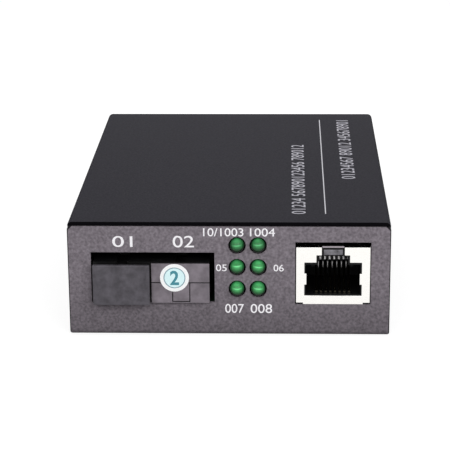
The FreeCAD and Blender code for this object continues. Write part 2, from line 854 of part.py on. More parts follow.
def transceiver_inside():
    start = f"{MODULE_FRONT} + nose_length + hood_wall + hole_gap"
    end = f"{MODULE_FRONT} + module_length - hood_wall - hole_gap"
    left, right = f"{MODULE_LEFT} + hood_wall + hole_gap", f"{MODULE_RIGHT} - hood_wall - hole_gap"
    first_pin = f"{MODULE_X} - (pin_count - 1) / 2 * pin_pitch"

    # the plate stops in front of the pins
    base = new_body("transceiver_base")
    pad(
        base, "plate", "XY", BOARD_TOP, f"{BOARD_TOP} + base_thickness",
        rectangle(left, right, start, f"{PIN_ROW} - pin_width"),
    )
    pocket(
        base, "post_holes", "XY", BOARD_TOP, f"{BOARD_TOP} + 2 * base_thickness",
        *[square(x, y, "(post_width / 2 + hole_gap)") for x, y in POST_SPOTS],
    )
    keep(base)

    board = new_body("transceiver_board")
    low = f"{BOARD_TOP} + module_board_rise"
    front_edge = f"{MODULE_FRONT} + port_depth + can_length + hole_gap"
    pad(
        board, "laminate", "XY", low, f"{low} + module_board_thickness",
        rectangle(left, right, front_edge, end),
    )
    hole = pocket(
        board, "pin_hole", "XY", f"{low} - sheet", f"{low} + module_board_thickness + sheet",
        square(first_pin, PIN_ROW, "(pin_width / 2 + part_gap)"),
    )
    repeat(board, "pin_holes", hole, "X", "pin_pitch", "pin_count")
    pocket(
        board, "post_notches", "XY", f"{low} - sheet", f"{low} + 2 * sheet",
        *[square(x, y, "(post_width / 2 + hole_gap)") for x, y in POST_SPOTS],
    )
    keep(board)

    pins = new_body("transceiver_pins")
    half = "pin_width / 2"
    pin = pad(
        pins, "pin", "XY", f"{BOARD_BOTTOM} - pin_tail",
        f"{low} + module_board_thickness + pin_width",
        rectangle(
            f"{first_pin} - {half}", f"{first_pin} + {half}", f"{PIN_ROW} - {half}",
            f"{PIN_ROW} + {half}",
        ),
    )
    repeat(pins, "pin_line", pin, "X", "pin_pitch", "pin_count")
    keep(pins)


def optical_barrel():
    body = new_body("optical_barrel")
    tip = f"{MODULE_FRONT} + barrel_reach"
    shoulder = f"{MODULE_FRONT} + port_depth"
    end = f"{shoulder} + can_length"
    rim, can = f"{PORT_Z} + barrel_radius", f"{PORT_Z} + can_radius"
    turn(
        body, "barrel_form",
        corners(
            (end, PORT_Z), (tip, PORT_Z), (tip, rim), (shoulder, rim), (shoulder, can), (end, can),
        ),
        plane="YZ", axis="Edge1", offset=PORT_X,
    )
    pocket(
        body, "ferrule_bore", "XZ", f"{tip} - sheet", f"{shoulder} + can_length / 4",
        circle(PORT_X, PORT_Z, "barrel_bore"),
    )
    return keep(body)


def latch_clip():
    body = new_body("latch_clip")
    back = f"{MODULE_FRONT} + port_depth"
    front = f"{back} - clip_thickness"
    half_width, half_height = "(port_width / 2 - hole_gap)", "(port_height / 2 - hole_gap)"
    pad(
        body, "plate", "XZ", front, back,
        rectangle(
            f"{PORT_X} - {half_width}", f"{PORT_X} + {half_width}", f"{PORT_Z} - {half_height}",
            f"{PORT_Z} + {half_height}",
        ),
    )
    pocket(
        body, "barrel_hole", "XZ", f"{front} - sheet", f"{back} + sheet",
        circle(PORT_X, PORT_Z, "barrel_radius + part_gap"),
    )
    tip = f"{MODULE_FRONT} + barrel_reach + sheet"
    for side in ("-1", "1"):
        inner = f"{PORT_X} + {side} * hook_spread"
        outer = f"{inner} + {side} * hook_thickness"
        barb = f"{PORT_X} + {side} * (hook_spread - hook_barb)"
        name = "left" if side == "-1" else "right"
        # the arm widens inwards at its tip into a sloped barb
        profile = corners(
            (inner, f"{front} + clip_thickness / 2"), (outer, f"{front} + clip_thickness / 2"),
            (outer, tip), (inner, tip), (barb, f"{tip} + hook_thickness"),
            (inner, f"{tip} + 2 * hook_thickness"),
        )
        pad(
            body, f"hook_{name}", "XY", f"{PORT_Z} - hook_height / 2",
            f"{PORT_Z} + hook_height / 2", profile,
        )
    return keep(body)


def dust_plug():
    body = new_body("dust_plug")
    face = f"{FRONT} - plug_proud"
    pad(
        body, "cap", "XZ", face, f"{face} + plug_cap",
        rectangle(
            f"{MODULE_LEFT} + face_gap", f"{MODULE_X} - plug_side_gap", MODULE_BOTTOM,
            f"{MODULE_BOTTOM} + nose_height",
        ),
    )
    half_width, half_height = "(port_width / 2 - plug_fit)", "(port_height / 2 - plug_fit)"
    tip = f"{MODULE_FRONT} + plug_reach"
    pad(
        body, "stem", "XZ", f"{face} + plug_cap / 2", tip,
        rectangle(
            f"{PORT_X} - {half_width}", f"{PORT_X} + {half_width}", f"{PORT_Z} - {half_height}",
            f"{PORT_Z} + {half_height}",
        ),
    )
    inner_width, inner_height = f"({half_width} - plug_wall)", f"({half_height} - plug_wall)"
    pocket(
        body, "stem_hollow", "XZ", MODULE_FRONT, f"{tip} + sheet",
        rectangle(
            f"{PORT_X} - {inner_width}", f"{PORT_X} + {inner_width}", f"{PORT_Z} - {inner_height}",
            f"{PORT_Z} + {inner_height}",
        ),
    )
    return keep(body)


def port_blank():
    body = new_body("port_blank")
    face = f"({FRONT} - blank_proud)"
    top, middle = f"{MODULE_BOTTOM} + nose_height", f"({PORT_Z} + tongue_line)"
    left, right = f"{MODULE_X} + face_gap / 2", MODULE_RIGHT
    pad(
        body, "face_plate", "XZ", face, MODULE_FRONT,
        rectangle(left, right, MODULE_BOTTOM, top),
    )
    half_width, half_height = "(port_width / 2 - plug_fit)", "(port_height / 2 - plug_fit)"
    pad(
        body, "stem", "XZ", f"{MODULE_FRONT} - face_gap", f"{MODULE_FRONT} + blank_reach",
        rectangle(
            f"{BLANK_X} - {half_width}", f"{BLANK_X} + {half_width}", f"{PORT_Z} - {half_height}",
            f"{PORT_Z} + {half_height}",
        ),
    )
    # one groove across the face and three round the snap tongue below it
    half, middle_x = "groove_width / 2", f"({BLANK_X} + tongue_shift)"
    tongue_left = f"({middle_x} - tongue_width / 2)"
    tongue_right = f"({middle_x} + tongue_width / 2)"
    tongue_foot = f"({middle} - tongue_height)"
    floor = f"{face} + groove_depth"
    pocket(
        body, "cross_groove", "XZ", f"{face} - sheet", floor,
        rectangle(
            f"{left} - sheet", f"{right} + sheet", f"{middle} - {half}", f"{middle} + {half}",
        ),
    )
    pocket(
        body, "tongue_grooves", "XZ", f"{face} - sheet", floor,
        rectangle(f"{tongue_left} - {half}", f"{tongue_left} + {half}", tongue_foot, middle),
        rectangle(f"{tongue_right} - {half}", f"{tongue_right} + {half}", tongue_foot, middle),
    )
    pocket(
        body, "tongue_foot", "XZ", f"{face} - sheet", floor,
        rectangle(
            f"{tongue_left} - {half}", f"{tongue_right} + {half}", f"{tongue_foot} - {half}",
            f"{tongue_foot} + {half}",
        ),
    )
    return keep(body)


def port_sticker():
    body = new_body("port_sticker")
    face = f"({FRONT} - blank_proud)"
    pad(
        body, "disc", "XZ", f"{face} - sticker_thickness", face,
        circle(f"{BLANK_X} - sticker_shift", f"{PORT_Z} + sticker_rise", "sticker_radius"),
    )
    return keep(body)


def jack_shield():
    body = new_body("network_jack_shield")
    left, right = JACK_LEFT, f"{JACK_LEFT} + jack_width"
    bottom = f"({BOARD_TOP} + jack_lift)"
    pad(body, "wrap", "XZ", JACK_FRONT, JACK_BACK, rectangle(left, right, bottom, JACK_TOP))
    pocket(
        body, "wrap_inside", "XY", BOARD_TOP, f"{JACK_TOP} - shield",
        rectangle(
            f"{left} + shield", f"{right} - shield", f"{JACK_FRONT} + shield",
            f"{JACK_BACK} - shield",
        ),
    )
    pad(
        body, "front_lip", "XZ", JACK_FRONT, f"{JACK_FRONT} + shield",
        rectangle(
            f"{JACK_X} - lip_width / 2", f"{JACK_X} + lip_width / 2", f"{bottom} - lip_drop",
            f"{bottom} + shield",
        ),
    )
    half_mouth, half_step, half_notch = "mouth_width / 2", "step_width / 2", "notch_width / 2"
    sill, brow = MOUTH_BOTTOM, f"({MOUTH_BOTTOM} + mouth_height)"
    lintel = f"({brow} + step_height)"
    above = f"({JACK_TOP} + shield)"
    steps = [
        (half_mouth, sill), (half_mouth, brow), (half_step, brow), (half_step, lintel),
        (half_notch, lintel), (half_notch, above),
    ]
    outline = [(f"{JACK_X} + {x}", z) for x, z in steps] + [
        (f"{JACK_X} - {x}", z) for x, z in reversed(steps)
    ]
    pocket(
        body, "mouth", "XZ", f"{JACK_FRONT} - shield", f"{JACK_FRONT} + shield", corners(*outline),
    )
    pocket(
        body, "roof_notch", "XY", f"{JACK_TOP} - 2 * shield", above,
        rectangle(
            f"{JACK_X} - {half_notch}", f"{JACK_X} + {half_notch}", f"{JACK_FRONT} - shield",
            f"{JACK_FRONT} + 6 * shield",
        ),
    )
    lug_low = f"({MOUTH_BOTTOM} + mouth_height / 2 - lug_height / 2)"
    lug_high = f"({MOUTH_BOTTOM} + mouth_height / 2 + lug_height / 2)"
    for name, side in (("left", "-1"), ("right", "1")):
        root = f"{JACK_X} + {side} * ({half_mouth} + shield)"
        tip = f"{JACK_X} + {side} * ({half_mouth} - lug_reach)"
        low, high = (root, tip) if side == "-1" else (tip, root)
        pad(
            body, f"side_lug_{name}", "XZ", JACK_FRONT, f"{JACK_FRONT} + shield",
            rectangle(low, high, lug_low, lug_high),
        )
        x, y = LEG_SPOTS[side == "1"]
        pad(
            body, f"board_leg_{name}", "YZ", f"{x} - shield / 2", f"{x} + shield / 2",
            rectangle(
                f"{y} - leg_width / 2", f"{y} + leg_width / 2", f"{BOARD_BOTTOM} - pin_tail",
                f"{bottom} + leg_width",
            ),
        )
    return keep(body)


def jack_housing():
    body = new_body("network_jack_housing")
    inset = "(shield + shield_gap)"
    left, right = f"{JACK_LEFT} + {inset}", f"{JACK_LEFT} + jack_width - {inset}"
    front, back = f"({JACK_FRONT} + {inset})", f"({JACK_BACK} - {inset})"
    roof = f"({JACK_TOP} - {inset})"
    lintel = f"({MOUTH_BOTTOM} + mouth_height + step_height)"
    pad(body, "block", "XZ", front, back, rectangle(left, right, BOARD_TOP, roof))
    half_boss = "(notch_width / 2 - 2 * shield_gap)"
    pad(
        body, "latch_brow", "XZ", JACK_FRONT, f"{JACK_FRONT} + 5 * shield",
        rectangle(
            f"{JACK_X} - {half_boss}", f"{JACK_X} + {half_boss}", f"{lintel} + shield_gap",
            f"{JACK_TOP} + shield",
        ),
    )
    pad(
        body, "board_pegs", "XY", BOARD_BOTTOM, f"{BOARD_TOP} + shield",
        *[square(x, y, "peg_width / 2") for x, y in PEG_SPOTS],
    )
    half_cavity, half_channel = "cavity_width / 2", "channel_width / 2"
    ceiling = f"({CAVITY_BOTTOM} + cavity_height)"
    pocket(
        body, "plug_cavity", "XZ", f"{front} - shield", f"{JACK_FRONT} + cavity_depth",
        rectangle(f"{JACK_X} - {half_cavity}", f"{JACK_X} + {half_cavity}", CAVITY_BOTTOM, ceiling),
    )
    pocket(
        body, "latch_channel", "XZ", f"{JACK_FRONT} - shield", f"{JACK_FRONT} + channel_depth",
        rectangle(
            f"{JACK_X} - {half_channel}", f"{JACK_X} + {half_channel}", f"{ceiling} - shield",
            f"{ceiling} + channel_height",
        ),
    )
    # the comb hangs from the ceiling's rear and keeps the contact tips apart
    half_comb = "((contact_count + 1) * contact_pitch / 2)"
    comb_front, comb_low = f"{JACK_FRONT} + comb_start", f"{ceiling} - comb_height"
    pad(
        body, "comb", "XZ", comb_front, f"{JACK_FRONT} + cavity_depth + shield",
        rectangle(
            f"{JACK_X} - {half_comb}", f"{JACK_X} + {half_comb}", comb_low,
            f"{ceiling} + channel_height + shield",
        ),
    )
    half_slot = "(contact_width / 2 + contact_gap)"
    slot = pocket(
        body, "comb_slot", "XZ", f"{comb_front} - shield",
        f"{JACK_FRONT} + (comb_start + cavity_depth) / 2",
        rectangle(
            f"{contact_x(0)} - {half_slot}", f"{contact_x(0)} + {half_slot}",
            f"{comb_low} - shield", f"{ceiling} - shield",
        ),
    )
    repeat(body, "comb_slots", slot, "X", "contact_pitch", "contact_count")
    # room for the contacts: a trough behind the lip, a tunnel under the floor, and the tails' well
    half_trough = f"({half_comb} - slot_margin)"
    sides = (f"{JACK_X} - {half_trough}", f"{JACK_X} + {half_trough}")
    low = f"({CAVITY_BOTTOM} - contact_sink - slot_margin)"
    high = f"({CAVITY_BOTTOM} - contact_sink + contact_thickness + slot_margin)"
    start = f"({JACK_FRONT} + contact_root - slot_margin)"
    end = f"({tail_y(1)} + contact_thickness / 2 + slot_margin)"
    pocket(
        body, "contact_trough", "XY", low, f"{CAVITY_BOTTOM} + shield",
        rectangle(*sides, start, f"{start} + 6 * slot_margin"),
    )
    pocket(body, "contact_tunnel", "XZ", start, end, rectangle(*sides, low, high))
    pocket(
        body, "tail_well", "XY", f"{BOARD_TOP} - shield", high,
        rectangle(*sides, f"{tail_y(0)} - contact_thickness / 2 - slot_margin", end),
    )
    return keep(body)


def jack_contacts():
    body = new_body("network_jack_contacts")
    t = "contact_thickness"
    root, tip = f"({JACK_FRONT} + contact_root)", f"({JACK_FRONT} + comb_start + contact_bend * 3)"
    under, over = f"({CAVITY_BOTTOM} - contact_sink)", f"({CAVITY_BOTTOM} - contact_sink + {t})"
    knee, crown = f"({CAVITY_BOTTOM} + {t} / 2)", f"({CAVITY_BOTTOM} + contact_rise)"
    foot = f"{BOARD_BOTTOM} - pin_tail"
    for number, name in ((0, "even"), (1, "odd")):
        tail = tail_y(number)
        strip = corners(
            (f"{tail} + {t} / 2", foot), (f"{tail} + {t} / 2", over), (f"{root} + {t}", over),
            (f"{root} + {t}", knee), (tip, f"{crown} - {t} * 1.2"), (tip, crown),
            (root, f"{knee} + {t} * 0.6"), (root, under), (f"{tail} - {t} / 2", under),
            (f"{tail} - {t} / 2", foot),
        )
        x = contact_x(number)
        contact = pad(
            body, f"contact_{name}", "YZ", f"{x} - contact_width / 2", f"{x} + contact_width / 2",
            strip,
        )
        repeat(body, f"contacts_{name}", contact, "X", "2 * contact_pitch", "contact_count / 2")
    return keep(body)


def indicator_holders():
    body = new_body("indicator_holders")
    half, top = "holder_width / 2", f"{LAMP_LOWEST} + 2 * lamp_pitch_up + holder_margin"
    columns = [f"{LAMP_X} + {column} * lamp_pitch_across" for column in (0, 1)]
    pad(
        body, "blocks", "XZ", LAMP_SETBACK, HOLDER_BACK,
        *[rectangle(f"{x} - {half}", f"{x} + {half}", BOARD_TOP, top) for x in columns],
    )
    pocket(
        body, "lamp_shafts", "XZ", f"{LAMP_SETBACK} - sheet", f"{HOLDER_BACK} + sheet",
        *[square(x, z, "(lamp_radius + lamp_gap)") for x, z in LAMP_SPOTS],
    )
    return keep(body)


def indicator_lamps():
    lamp = new_body("indicator_lamp")
    reach = "(sheet + holder_gap + lamp_seat + lamp_proud)"
    turn(
        lamp, "lamp_form",
        corners(
            ("0", "0"), ("lamp_radius", "0"), ("lamp_radius", f"{reach} - lamp_proud"),
            ("lamp_radius - lamp_bevel", reach), ("0", reach),
        ),
    )
    facing = FreeCAD.Rotation(FreeCAD.Vector(1, 0, 0), 90)
    return copies(
        "indicator_lamps", lamp,
        [(x, f"{LAMP_SETBACK} + lamp_seat", z, facing) for x, z in LAMP_SPOTS],
    )


def indicator_leads():
    body = new_body("indicator_leads")
    half = "lead_width / 2"
    start, foot = f"{LAMP_SETBACK} + lamp_seat", f"{BOARD_BOTTOM} - pin_tail"
    for number, (x, row) in enumerate(LEAD_SPOTS):
        z, y = f"({LAMP_LOWEST} + {row} * lamp_pitch_up)", lead_y(row)
        bent = corners(
            (start, f"{z} - {half}"), (f"{y} - {half}", f"{z} - {half}"), (f"{y} - {half}", foot),
            (f"{y} + {half}", foot), (f"{y} + {half}", f"{z} + {half}"), (start, f"{z} + {half}"),
        )
        pad(body, f"lead_{number}", "YZ", f"{x} - {half}", f"{x} + {half}", bent)
    return keep(body)


def power_jack():
    body = new_body("power_jack_body")
    half = "power_width / 2"
    pad(
        body, "block", "XZ", POWER_BACK, POWER_REAR,
        corners(
            (f"{POWER_X} - {half}", BOARD_TOP), (f"{POWER_X} + {half}", BOARD_TOP),
            (f"{POWER_X} + {half}", f"{BOARD_TOP} + power_height - power_corner"),
            (
                f"{POWER_X} + {half} - power_corner", f"{BOARD_TOP} + power_height", "power_corner",
                "left",
            ),
            (f"{POWER_X} - {half} + power_corner", f"{BOARD_TOP} + power_height"),
            (
                f"{POWER_X} - {half}", f"{BOARD_TOP} + power_height - power_corner", "power_corner",
                "left",
            ),
        ),
    )
    floor = f"({POWER_REAR} - power_bore_depth)"
    pocket(
        body, "plug_bore", "XZ", floor, f"{POWER_REAR} + sheet",
        circle(POWER_X, POWER_Z, "power_bore"),
    )
    pocket(
        body, "pin_seat", "XZ", f"{POWER_BACK} - sheet", f"{floor} + sheet",
        circle(POWER_X, POWER_Z, "power_stem + part_gap"),
    )
    # the spring lies in a groove below the bore and comes down through the block
    half_slot = "(spring_width / 2 + hole_gap)"
    groove = f"({POWER_Z} - power_bore - 2 * spring_thickness)"
    tail = f"({POWER_BACK} + power_tail_end)"
    pocket(
        body, "spring_groove", "XZ", f"{tail} - spring_thickness - hole_gap",
        f"{POWER_REAR} + sheet",
        rectangle(
            f"{POWER_X} - {half_slot}", f"{POWER_X} + {half_slot}", groove,
            f"{POWER_Z} - power_pin * 2",
        ),
    )
    pocket(
        body, "spring_tail_slot", "XY", f"{BOARD_TOP} - sheet", f"{groove} + spring_thickness",
        rectangle(
            f"{POWER_X} - {half_slot}", f"{POWER_X} + {half_slot}",
            f"{tail} - spring_thickness - hole_gap", f"{tail} + spring_thickness + hole_gap",
        ),
    )
    keep(body)

    # the pin's thinner stem is riveted through the block to its tab
    pin = new_body("power_jack_pin")
    tip = f"({POWER_REAR} - power_pin_inset)"
    end = f"{POWER_BACK} - power_tab_thickness"
    rim, stem = f"{POWER_Z} + power_pin", f"{POWER_Z} + power_stem"
    turn(
        pin, "pin_form",
        corners(
            (tip, POWER_Z), (end, POWER_Z), (end, stem), (floor, stem), (floor, rim),
            (f"{tip} - power_pin / 2", rim), (tip, f"{POWER_Z} + power_pin / 2"),
        ),
        plane="YZ", axis="Edge1", offset=POWER_X,
    )
    half_tab = "power_tab_width / 2"
    pad(
        pin, "solder_tab", "XZ", f"{POWER_BACK} - power_tail_end - power_tab_thickness / 2",
        f"{POWER_BACK} - part_gap",
        rectangle(
            f"{POWER_X} - {half_tab}", f"{POWER_X} + {half_tab}", f"{BOARD_TOP} + hole_gap",
            f"{POWER_Z} + power_tab_width",
        ),
    )
    pad(
        pin, "solder_tail", "XZ", f"{POWER_BACK} - power_tail_end - power_tab_thickness / 2",
        f"{POWER_BACK} - power_tail_end + power_tab_thickness / 2",
        rectangle(
            f"{POWER_X} - {half_tab}", f"{POWER_X} + {half_tab}", f"{BOARD_BOTTOM} - pin_tail",
            f"{BOARD_TOP} + power_tab_width",
        ),
    )
    keep(pin)

    spring = new_body("power_jack_spring")
    thick, half_spring = "spring_thickness", "spring_width / 2"
    low = f"({POWER_Z} - power_bore - 3 * {thick} / 2)"
    crest, end = f"({POWER_REAR} - power_bore_depth / 2)", f"({POWER_REAR} - power_pin_inset)"
    peak = f"({POWER_Z} - power_bore + spring_reach)"
    leaf = corners(
        (f"{tail} - {thick} / 2", f"{BOARD_BOTTOM} - pin_tail"),
        (f"{tail} + {thick} / 2", f"{BOARD_BOTTOM} - pin_tail"), (f"{tail} + {thick} / 2", low),
        (f"{crest} - power_bore", low), (crest, f"{peak} - {thick}"), (end, low),
        (end, f"{low} + {thick}"), (crest, peak), (f"{crest} - power_bore", f"{low} + {thick}"),
        (f"{tail} - {thick} / 2", f"{low} + {thick}"),
    )
    pad(spring, "leaf", "YZ", f"{POWER_X} - {half_spring}", f"{POWER_X} + {half_spring}", leaf)
    keep(spring)


def lead_rows(body, run, middle, centre, half_body, reach, pitch, count):
    """Flat leads in two rows along X or Y, on opposite sides of a chip."""
    first = f"({middle} - ({count} - 1) / 2 * {pitch})"
    for side, name in (("-", "low"), ("+", "high")):
        outward = f"({centre} {side} ({half_body} + {reach} / 2))"
        spot = (first, outward) if run == "X" else (outward, first)
        halves = ("chip_lead_width / 2", f"{reach} / 2")
        lead = pad(
            body, f"lead_{run}_{name}", "XY", BOARD_TOP, f"{BOARD_TOP} + chip_lead_thickness",
            centred(*spot, *(halves if run == "X" else halves[::-1])),
        )
        repeat(body, f"leads_{run}_{name}", lead, run, pitch, count)


def converter_chip():
    x, y = "(transformer_width / 2)", "chip_place"
    chip = new_body("converter_chip")
    low = f"{BOARD_TOP} + chip_stand"
    pad(chip, "package", "XY", low, f"{low} + chip_height", square(x, y, "chip_side / 2"))
    keep(chip)
    leads = new_body("chip_leads")
    row = ("(chip_side / 2)", "chip_lead_reach", "chip_lead_pitch", "chip_leads")
    lead_rows(leads, "X", x, y, *row)
    lead_rows(leads, "Y", y, x, *row)
    keep(leads)


def line_transformer():
    y = f"({FRONT} + transformer_from_front)"
    block = new_body("line_transformer")
    low = f"{BOARD_TOP} + chip_stand"
    pad(
        block, "package", "XY", low, f"{low} + transformer_height",
        centred(JACK_X, y, "transformer_width / 2", "transformer_depth / 2"),
    )
    keep(block)
    leads = new_body("transformer_leads")
    lead_rows(
        leads, "X", JACK_X, y, "(transformer_depth / 2)", "transformer_reach",
        "transformer_pitch", "transformer_leads",
    )
    keep(leads)


def timing_crystal():
    body = new_body("timing_crystal")
    x, y = "(-chip_side)", "chip_place"
    pad(
        body, "can", "XY", BOARD_TOP, f"{BOARD_TOP} + crystal_height",
        chamfered(
            f"{x} - crystal_length / 2", f"{x} + crystal_length / 2", f"{y} - crystal_width / 2",
            f"{y} + crystal_width / 2", "crystal_cut",
        ),
    )
    return keep(body)


def supply_parts():
    can = new_body("filter_capacitor")
    pad(can, "sleeve", "XY", "0", "capacitor_height", circle("0", "0", "capacitor_radius"))
    row = f"{REAR} - rear_mount"
    copies(
        "filter_capacitors", can,
        [("0", row, BOARD_TOP, UPRIGHT), ("3 * capacitor_radius", row, BOARD_TOP, UPRIGHT)],
    )

    choke = new_body("supply_choke")
    x, y, half = "(-choke_side)", f"({REAR} - rear_mount - 2 * choke_side)", "choke_side / 2"
    pad(
        choke, "block", "XY", BOARD_TOP, f"{BOARD_TOP} + choke_height",
        chamfered(f"{x} - {half}", f"{x} + {half}", f"{y} - {half}", f"{y} + {half}", "choke_cut"),
    )
    keep(choke)

    regulator = new_body("voltage_regulator")
    x, half = "(choke_side)", "regulator_width / 2"
    near, far = f"({y} - regulator_depth / 2)", f"({y} + regulator_depth / 2)"
    pad(
        regulator, "package", "XY", BOARD_TOP, f"{BOARD_TOP} + regulator_height",
        rectangle(f"{x} - {half}", f"{x} + {half}", near, far),
    )
    thin = "regulator_height / 6"
    pad(
        regulator, "heat_tab", "XY", BOARD_TOP, f"{BOARD_TOP} + {thin}",
        rectangle(
            f"{x} - {half} / 2", f"{x} + {half} / 2", f"{far} - {thin}", f"{far} + regulator_height",
        ),
    )
    lead = "regulator_width / 10"
    pad(
        regulator, "leads", "XY", BOARD_TOP, f"{BOARD_TOP} + {thin}",
        *[
            rectangle(
                f"{x} + {n} * regulator_width / 3 - {lead}",
                f"{x} + {n} * regulator_width / 3 + {lead}", f"{near} - regulator_height",
                f"{near} + {thin}",
            )
            for n in ("-1", "0", "1")
        ],
    )
    keep(regulator)


def chip_row(name, x, y, count):
    """A line of small surface parts, each its own solid, side by side along X."""
    body = new_body(name)
    half_long, half_wide = "resistor_length / 2", "resistor_width / 2"
    first = pad(
        body, "first", "XY", BOARD_TOP, f"{BOARD_TOP} + resistor_height",
        rectangle(
            f"{x} - {half_wide}", f"{x} + {half_wide}", f"{y} - {half_long}", f"{y} + {half_long}",
        ),
    )
    repeat(body, "row", first, "X", "2 * resistor_width", count)
    return keep(body)


def build():
    fill_table()
    base_tray()
    top_cover()
    cover_screws()
    board_standoffs()
    board_screws()
    circuit_board()
    transceiver_housing()
    transceiver_inside()
    optical_barrel()
    latch_clip()
    dust_plug()
    port_blank()
    port_sticker()
    jack_shield()
    jack_housing()
    jack_contacts()
    indicator_holders()
    indicator_lamps()
    indicator_leads()
    power_jack()
    converter_chip()
    line_transformer()
    timing_crystal()
    supply_parts()
    beside_chip = "(chip_side / 2 + chip_lead_reach + row_gap + resistor_length / 2)"
    chip_row("chip_resistors", "(-chip_side)", f"(chip_place + {beside_chip})", "resistor_count")
    chip_row("chip_capacitors", "(chip_side)", f"(chip_place - {beside_chip})", "ceramic_count")


def write_parts():
    doc.recompute()
    for thing in doc.Objects:
        if {"Invalid", "Error"} & set(thing.State):
            raise RuntimeError(f"{thing.Name} failed: {thing.State}")
    for part in sub_parts:
        if part.Shape.isNull() or not part.Shape.isValid():
            raise RuntimeError(f"{part.Label} has no valid shape")
    os.makedirs("parts", exist_ok=True)
    for part in sub_parts:
        part.Shape.exportStep(f"parts/{part.Label}.step")
        print(f"{part.Label}: {len(part.Shape.Solids)} solid(s), {part.Shape.Volume:.1f} mm3")


build()
write_parts()
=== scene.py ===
import bmesh
import bpy
import math
from mathutils import Matrix, Vector


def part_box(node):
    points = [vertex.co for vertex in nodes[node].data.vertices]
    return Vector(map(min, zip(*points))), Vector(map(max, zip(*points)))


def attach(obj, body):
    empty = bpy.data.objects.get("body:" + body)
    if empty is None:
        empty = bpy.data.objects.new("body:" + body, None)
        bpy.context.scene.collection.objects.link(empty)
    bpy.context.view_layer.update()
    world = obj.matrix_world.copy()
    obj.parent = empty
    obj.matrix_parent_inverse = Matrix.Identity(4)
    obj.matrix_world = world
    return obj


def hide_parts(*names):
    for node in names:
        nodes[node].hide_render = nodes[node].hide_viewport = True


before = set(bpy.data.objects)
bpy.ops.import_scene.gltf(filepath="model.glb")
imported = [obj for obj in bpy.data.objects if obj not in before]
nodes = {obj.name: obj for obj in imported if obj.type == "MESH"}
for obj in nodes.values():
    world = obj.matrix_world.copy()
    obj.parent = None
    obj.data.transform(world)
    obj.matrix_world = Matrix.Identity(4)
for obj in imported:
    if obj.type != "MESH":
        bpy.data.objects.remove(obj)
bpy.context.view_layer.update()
mm = 0.001
print("model loaded:", len(nodes), "nodes")


# small helpers for picking and finishing meshes
def onlySelect(piece):
    bpy.ops.object.select_all(action="DESELECT")
    piece.select_set(True)
    bpy.context.view_layer.objects.active = piece


def startEdit(piece):
    onlySelect(piece)
    bpy.ops.object.mode_set(mode="EDIT")
    bpy.ops.mesh.select_all(action="DESELECT")


def endEdit():
    bpy.ops.object.mode_set(mode="OBJECT")


def pickVerts(piece, test):
    mesh = bmesh.from_edit_mesh(piece.data)
    bpy.context.tool_settings.mesh_select_mode = (True, False, False)
    for vert in mesh.verts:
        vert.select_set(bool(test(vert.co)))
    mesh.select_flush(True)
    bmesh.update_edit_mesh(piece.data)


def applyPlace(piece):
    onlySelect(piece)
    bpy.ops.object.transform_apply(location=True, rotation=True, scale=True)


def addModifier(piece, kind, **settings):
    onlySelect(piece)
    change = piece.modifiers.new(kind.lower(), kind)
    for key, value in settings.items():
        setattr(change, key, value)
    bpy.ops.object.modifier_apply(modifier=change.name)


def closeMesh(piece, gap=0.0005 * mm):
    startEdit(piece)
    bpy.ops.mesh.select_all(action="SELECT")
    bpy.ops.mesh.remove_doubles(threshold=gap)
    bpy.ops.mesh.normals_make_consistent(inside=False)
    endEdit()


def smoothByAngle(piece, degrees=35):
    onlySelect(piece)
    bpy.ops.object.shade_smooth_by_angle(angle=math.radians(degrees))


def joinPieces(pieces, name):
    bpy.ops.object.select_all(action="DESELECT")
    for piece in pieces:
        piece.select_set(True)
    bpy.context.view_layer.objects.active = pieces[0]
    bpy.ops.object.join()
    joined = bpy.context.view_layer.objects.active
    joined.name = name
    joined.data.name = name
    return joined


def makeSlab(name, low, high):
    low, high = Vector(low) * mm, Vector(high) * mm
    bpy.ops.object.select_all(action="DESELECT")
    bpy.ops.mesh.primitive_cube_add(size=1, location=(low + high) / 2, scale=high - low)
    slab = bpy.context.object
    slab.name = name
    applyPlace(slab)
    return slab


def copyAt(piece, offset):
    twin = piece.copy()
    twin.data = piece.data.copy()
    bpy.context.scene.collection.objects.link(twin)
    twin.data.transform(Matrix.Translation(offset))
    return twin


# materials: every one reads Object coordinates
def tone(red, green, blue):
    def straight(level):
        level /= 255
        return level / 12.92 if level <= 0.04045 else ((level + 0.055) / 1.055) ** 2.4
    return (straight(red), straight(green), straight(blue), 1.0)


def startMaterial(name):
    material = bpy.data.materials.new(name)
    material.use_nodes = True
    tree = material.node_tree
    shader = tree.nodes["Principled BSDF"]
    place = tree.nodes.new("ShaderNodeTexCoord")
    return material, tree, shader, place.outputs["Object"]


def addNoise(tree, source, scale, detail=4.0, roughness=0.6, stretch=(1, 1, 1)):
    mapping = tree.nodes.new("ShaderNodeMapping")
    mapping.inputs["Scale"].default_value = stretch
    tree.links.new(source, mapping.inputs["Vector"])
    noise = tree.nodes.new("ShaderNodeTexNoise")
    noise.inputs["Scale"].default_value = scale
    noise.inputs["Detail"].default_value = detail
    noise.inputs["Roughness"].default_value = roughness
    tree.links.new(mapping.outputs["Vector"], noise.inputs["Vector"])
    return noise.outputs["Fac"]


def addRamp(tree, source, stops):
    ramp = tree.nodes.new("ShaderNodeValToRGB")
    ramp.color_ramp.elements[0].position, ramp.color_ramp.elements[0].color = stops[0]
    ramp.color_ramp.elements[1].position, ramp.color_ramp.elements[1].color = stops[-1]
    for position, colour in stops[1:-1]:
        ramp.color_ramp.elements.new(position).color = colour
    tree.links.new(source, ramp.inputs["Fac"])
    return ramp.outputs["Color"]


def addRange(tree, source, low, high):
    spread = tree.nodes.new("ShaderNodeMapRange")
    spread.inputs["To Min"].default_value = low
    spread.inputs["To Max"].default_value = high
    tree.links.new(source, spread.inputs["Value"])
    return spread.outputs["Result"]


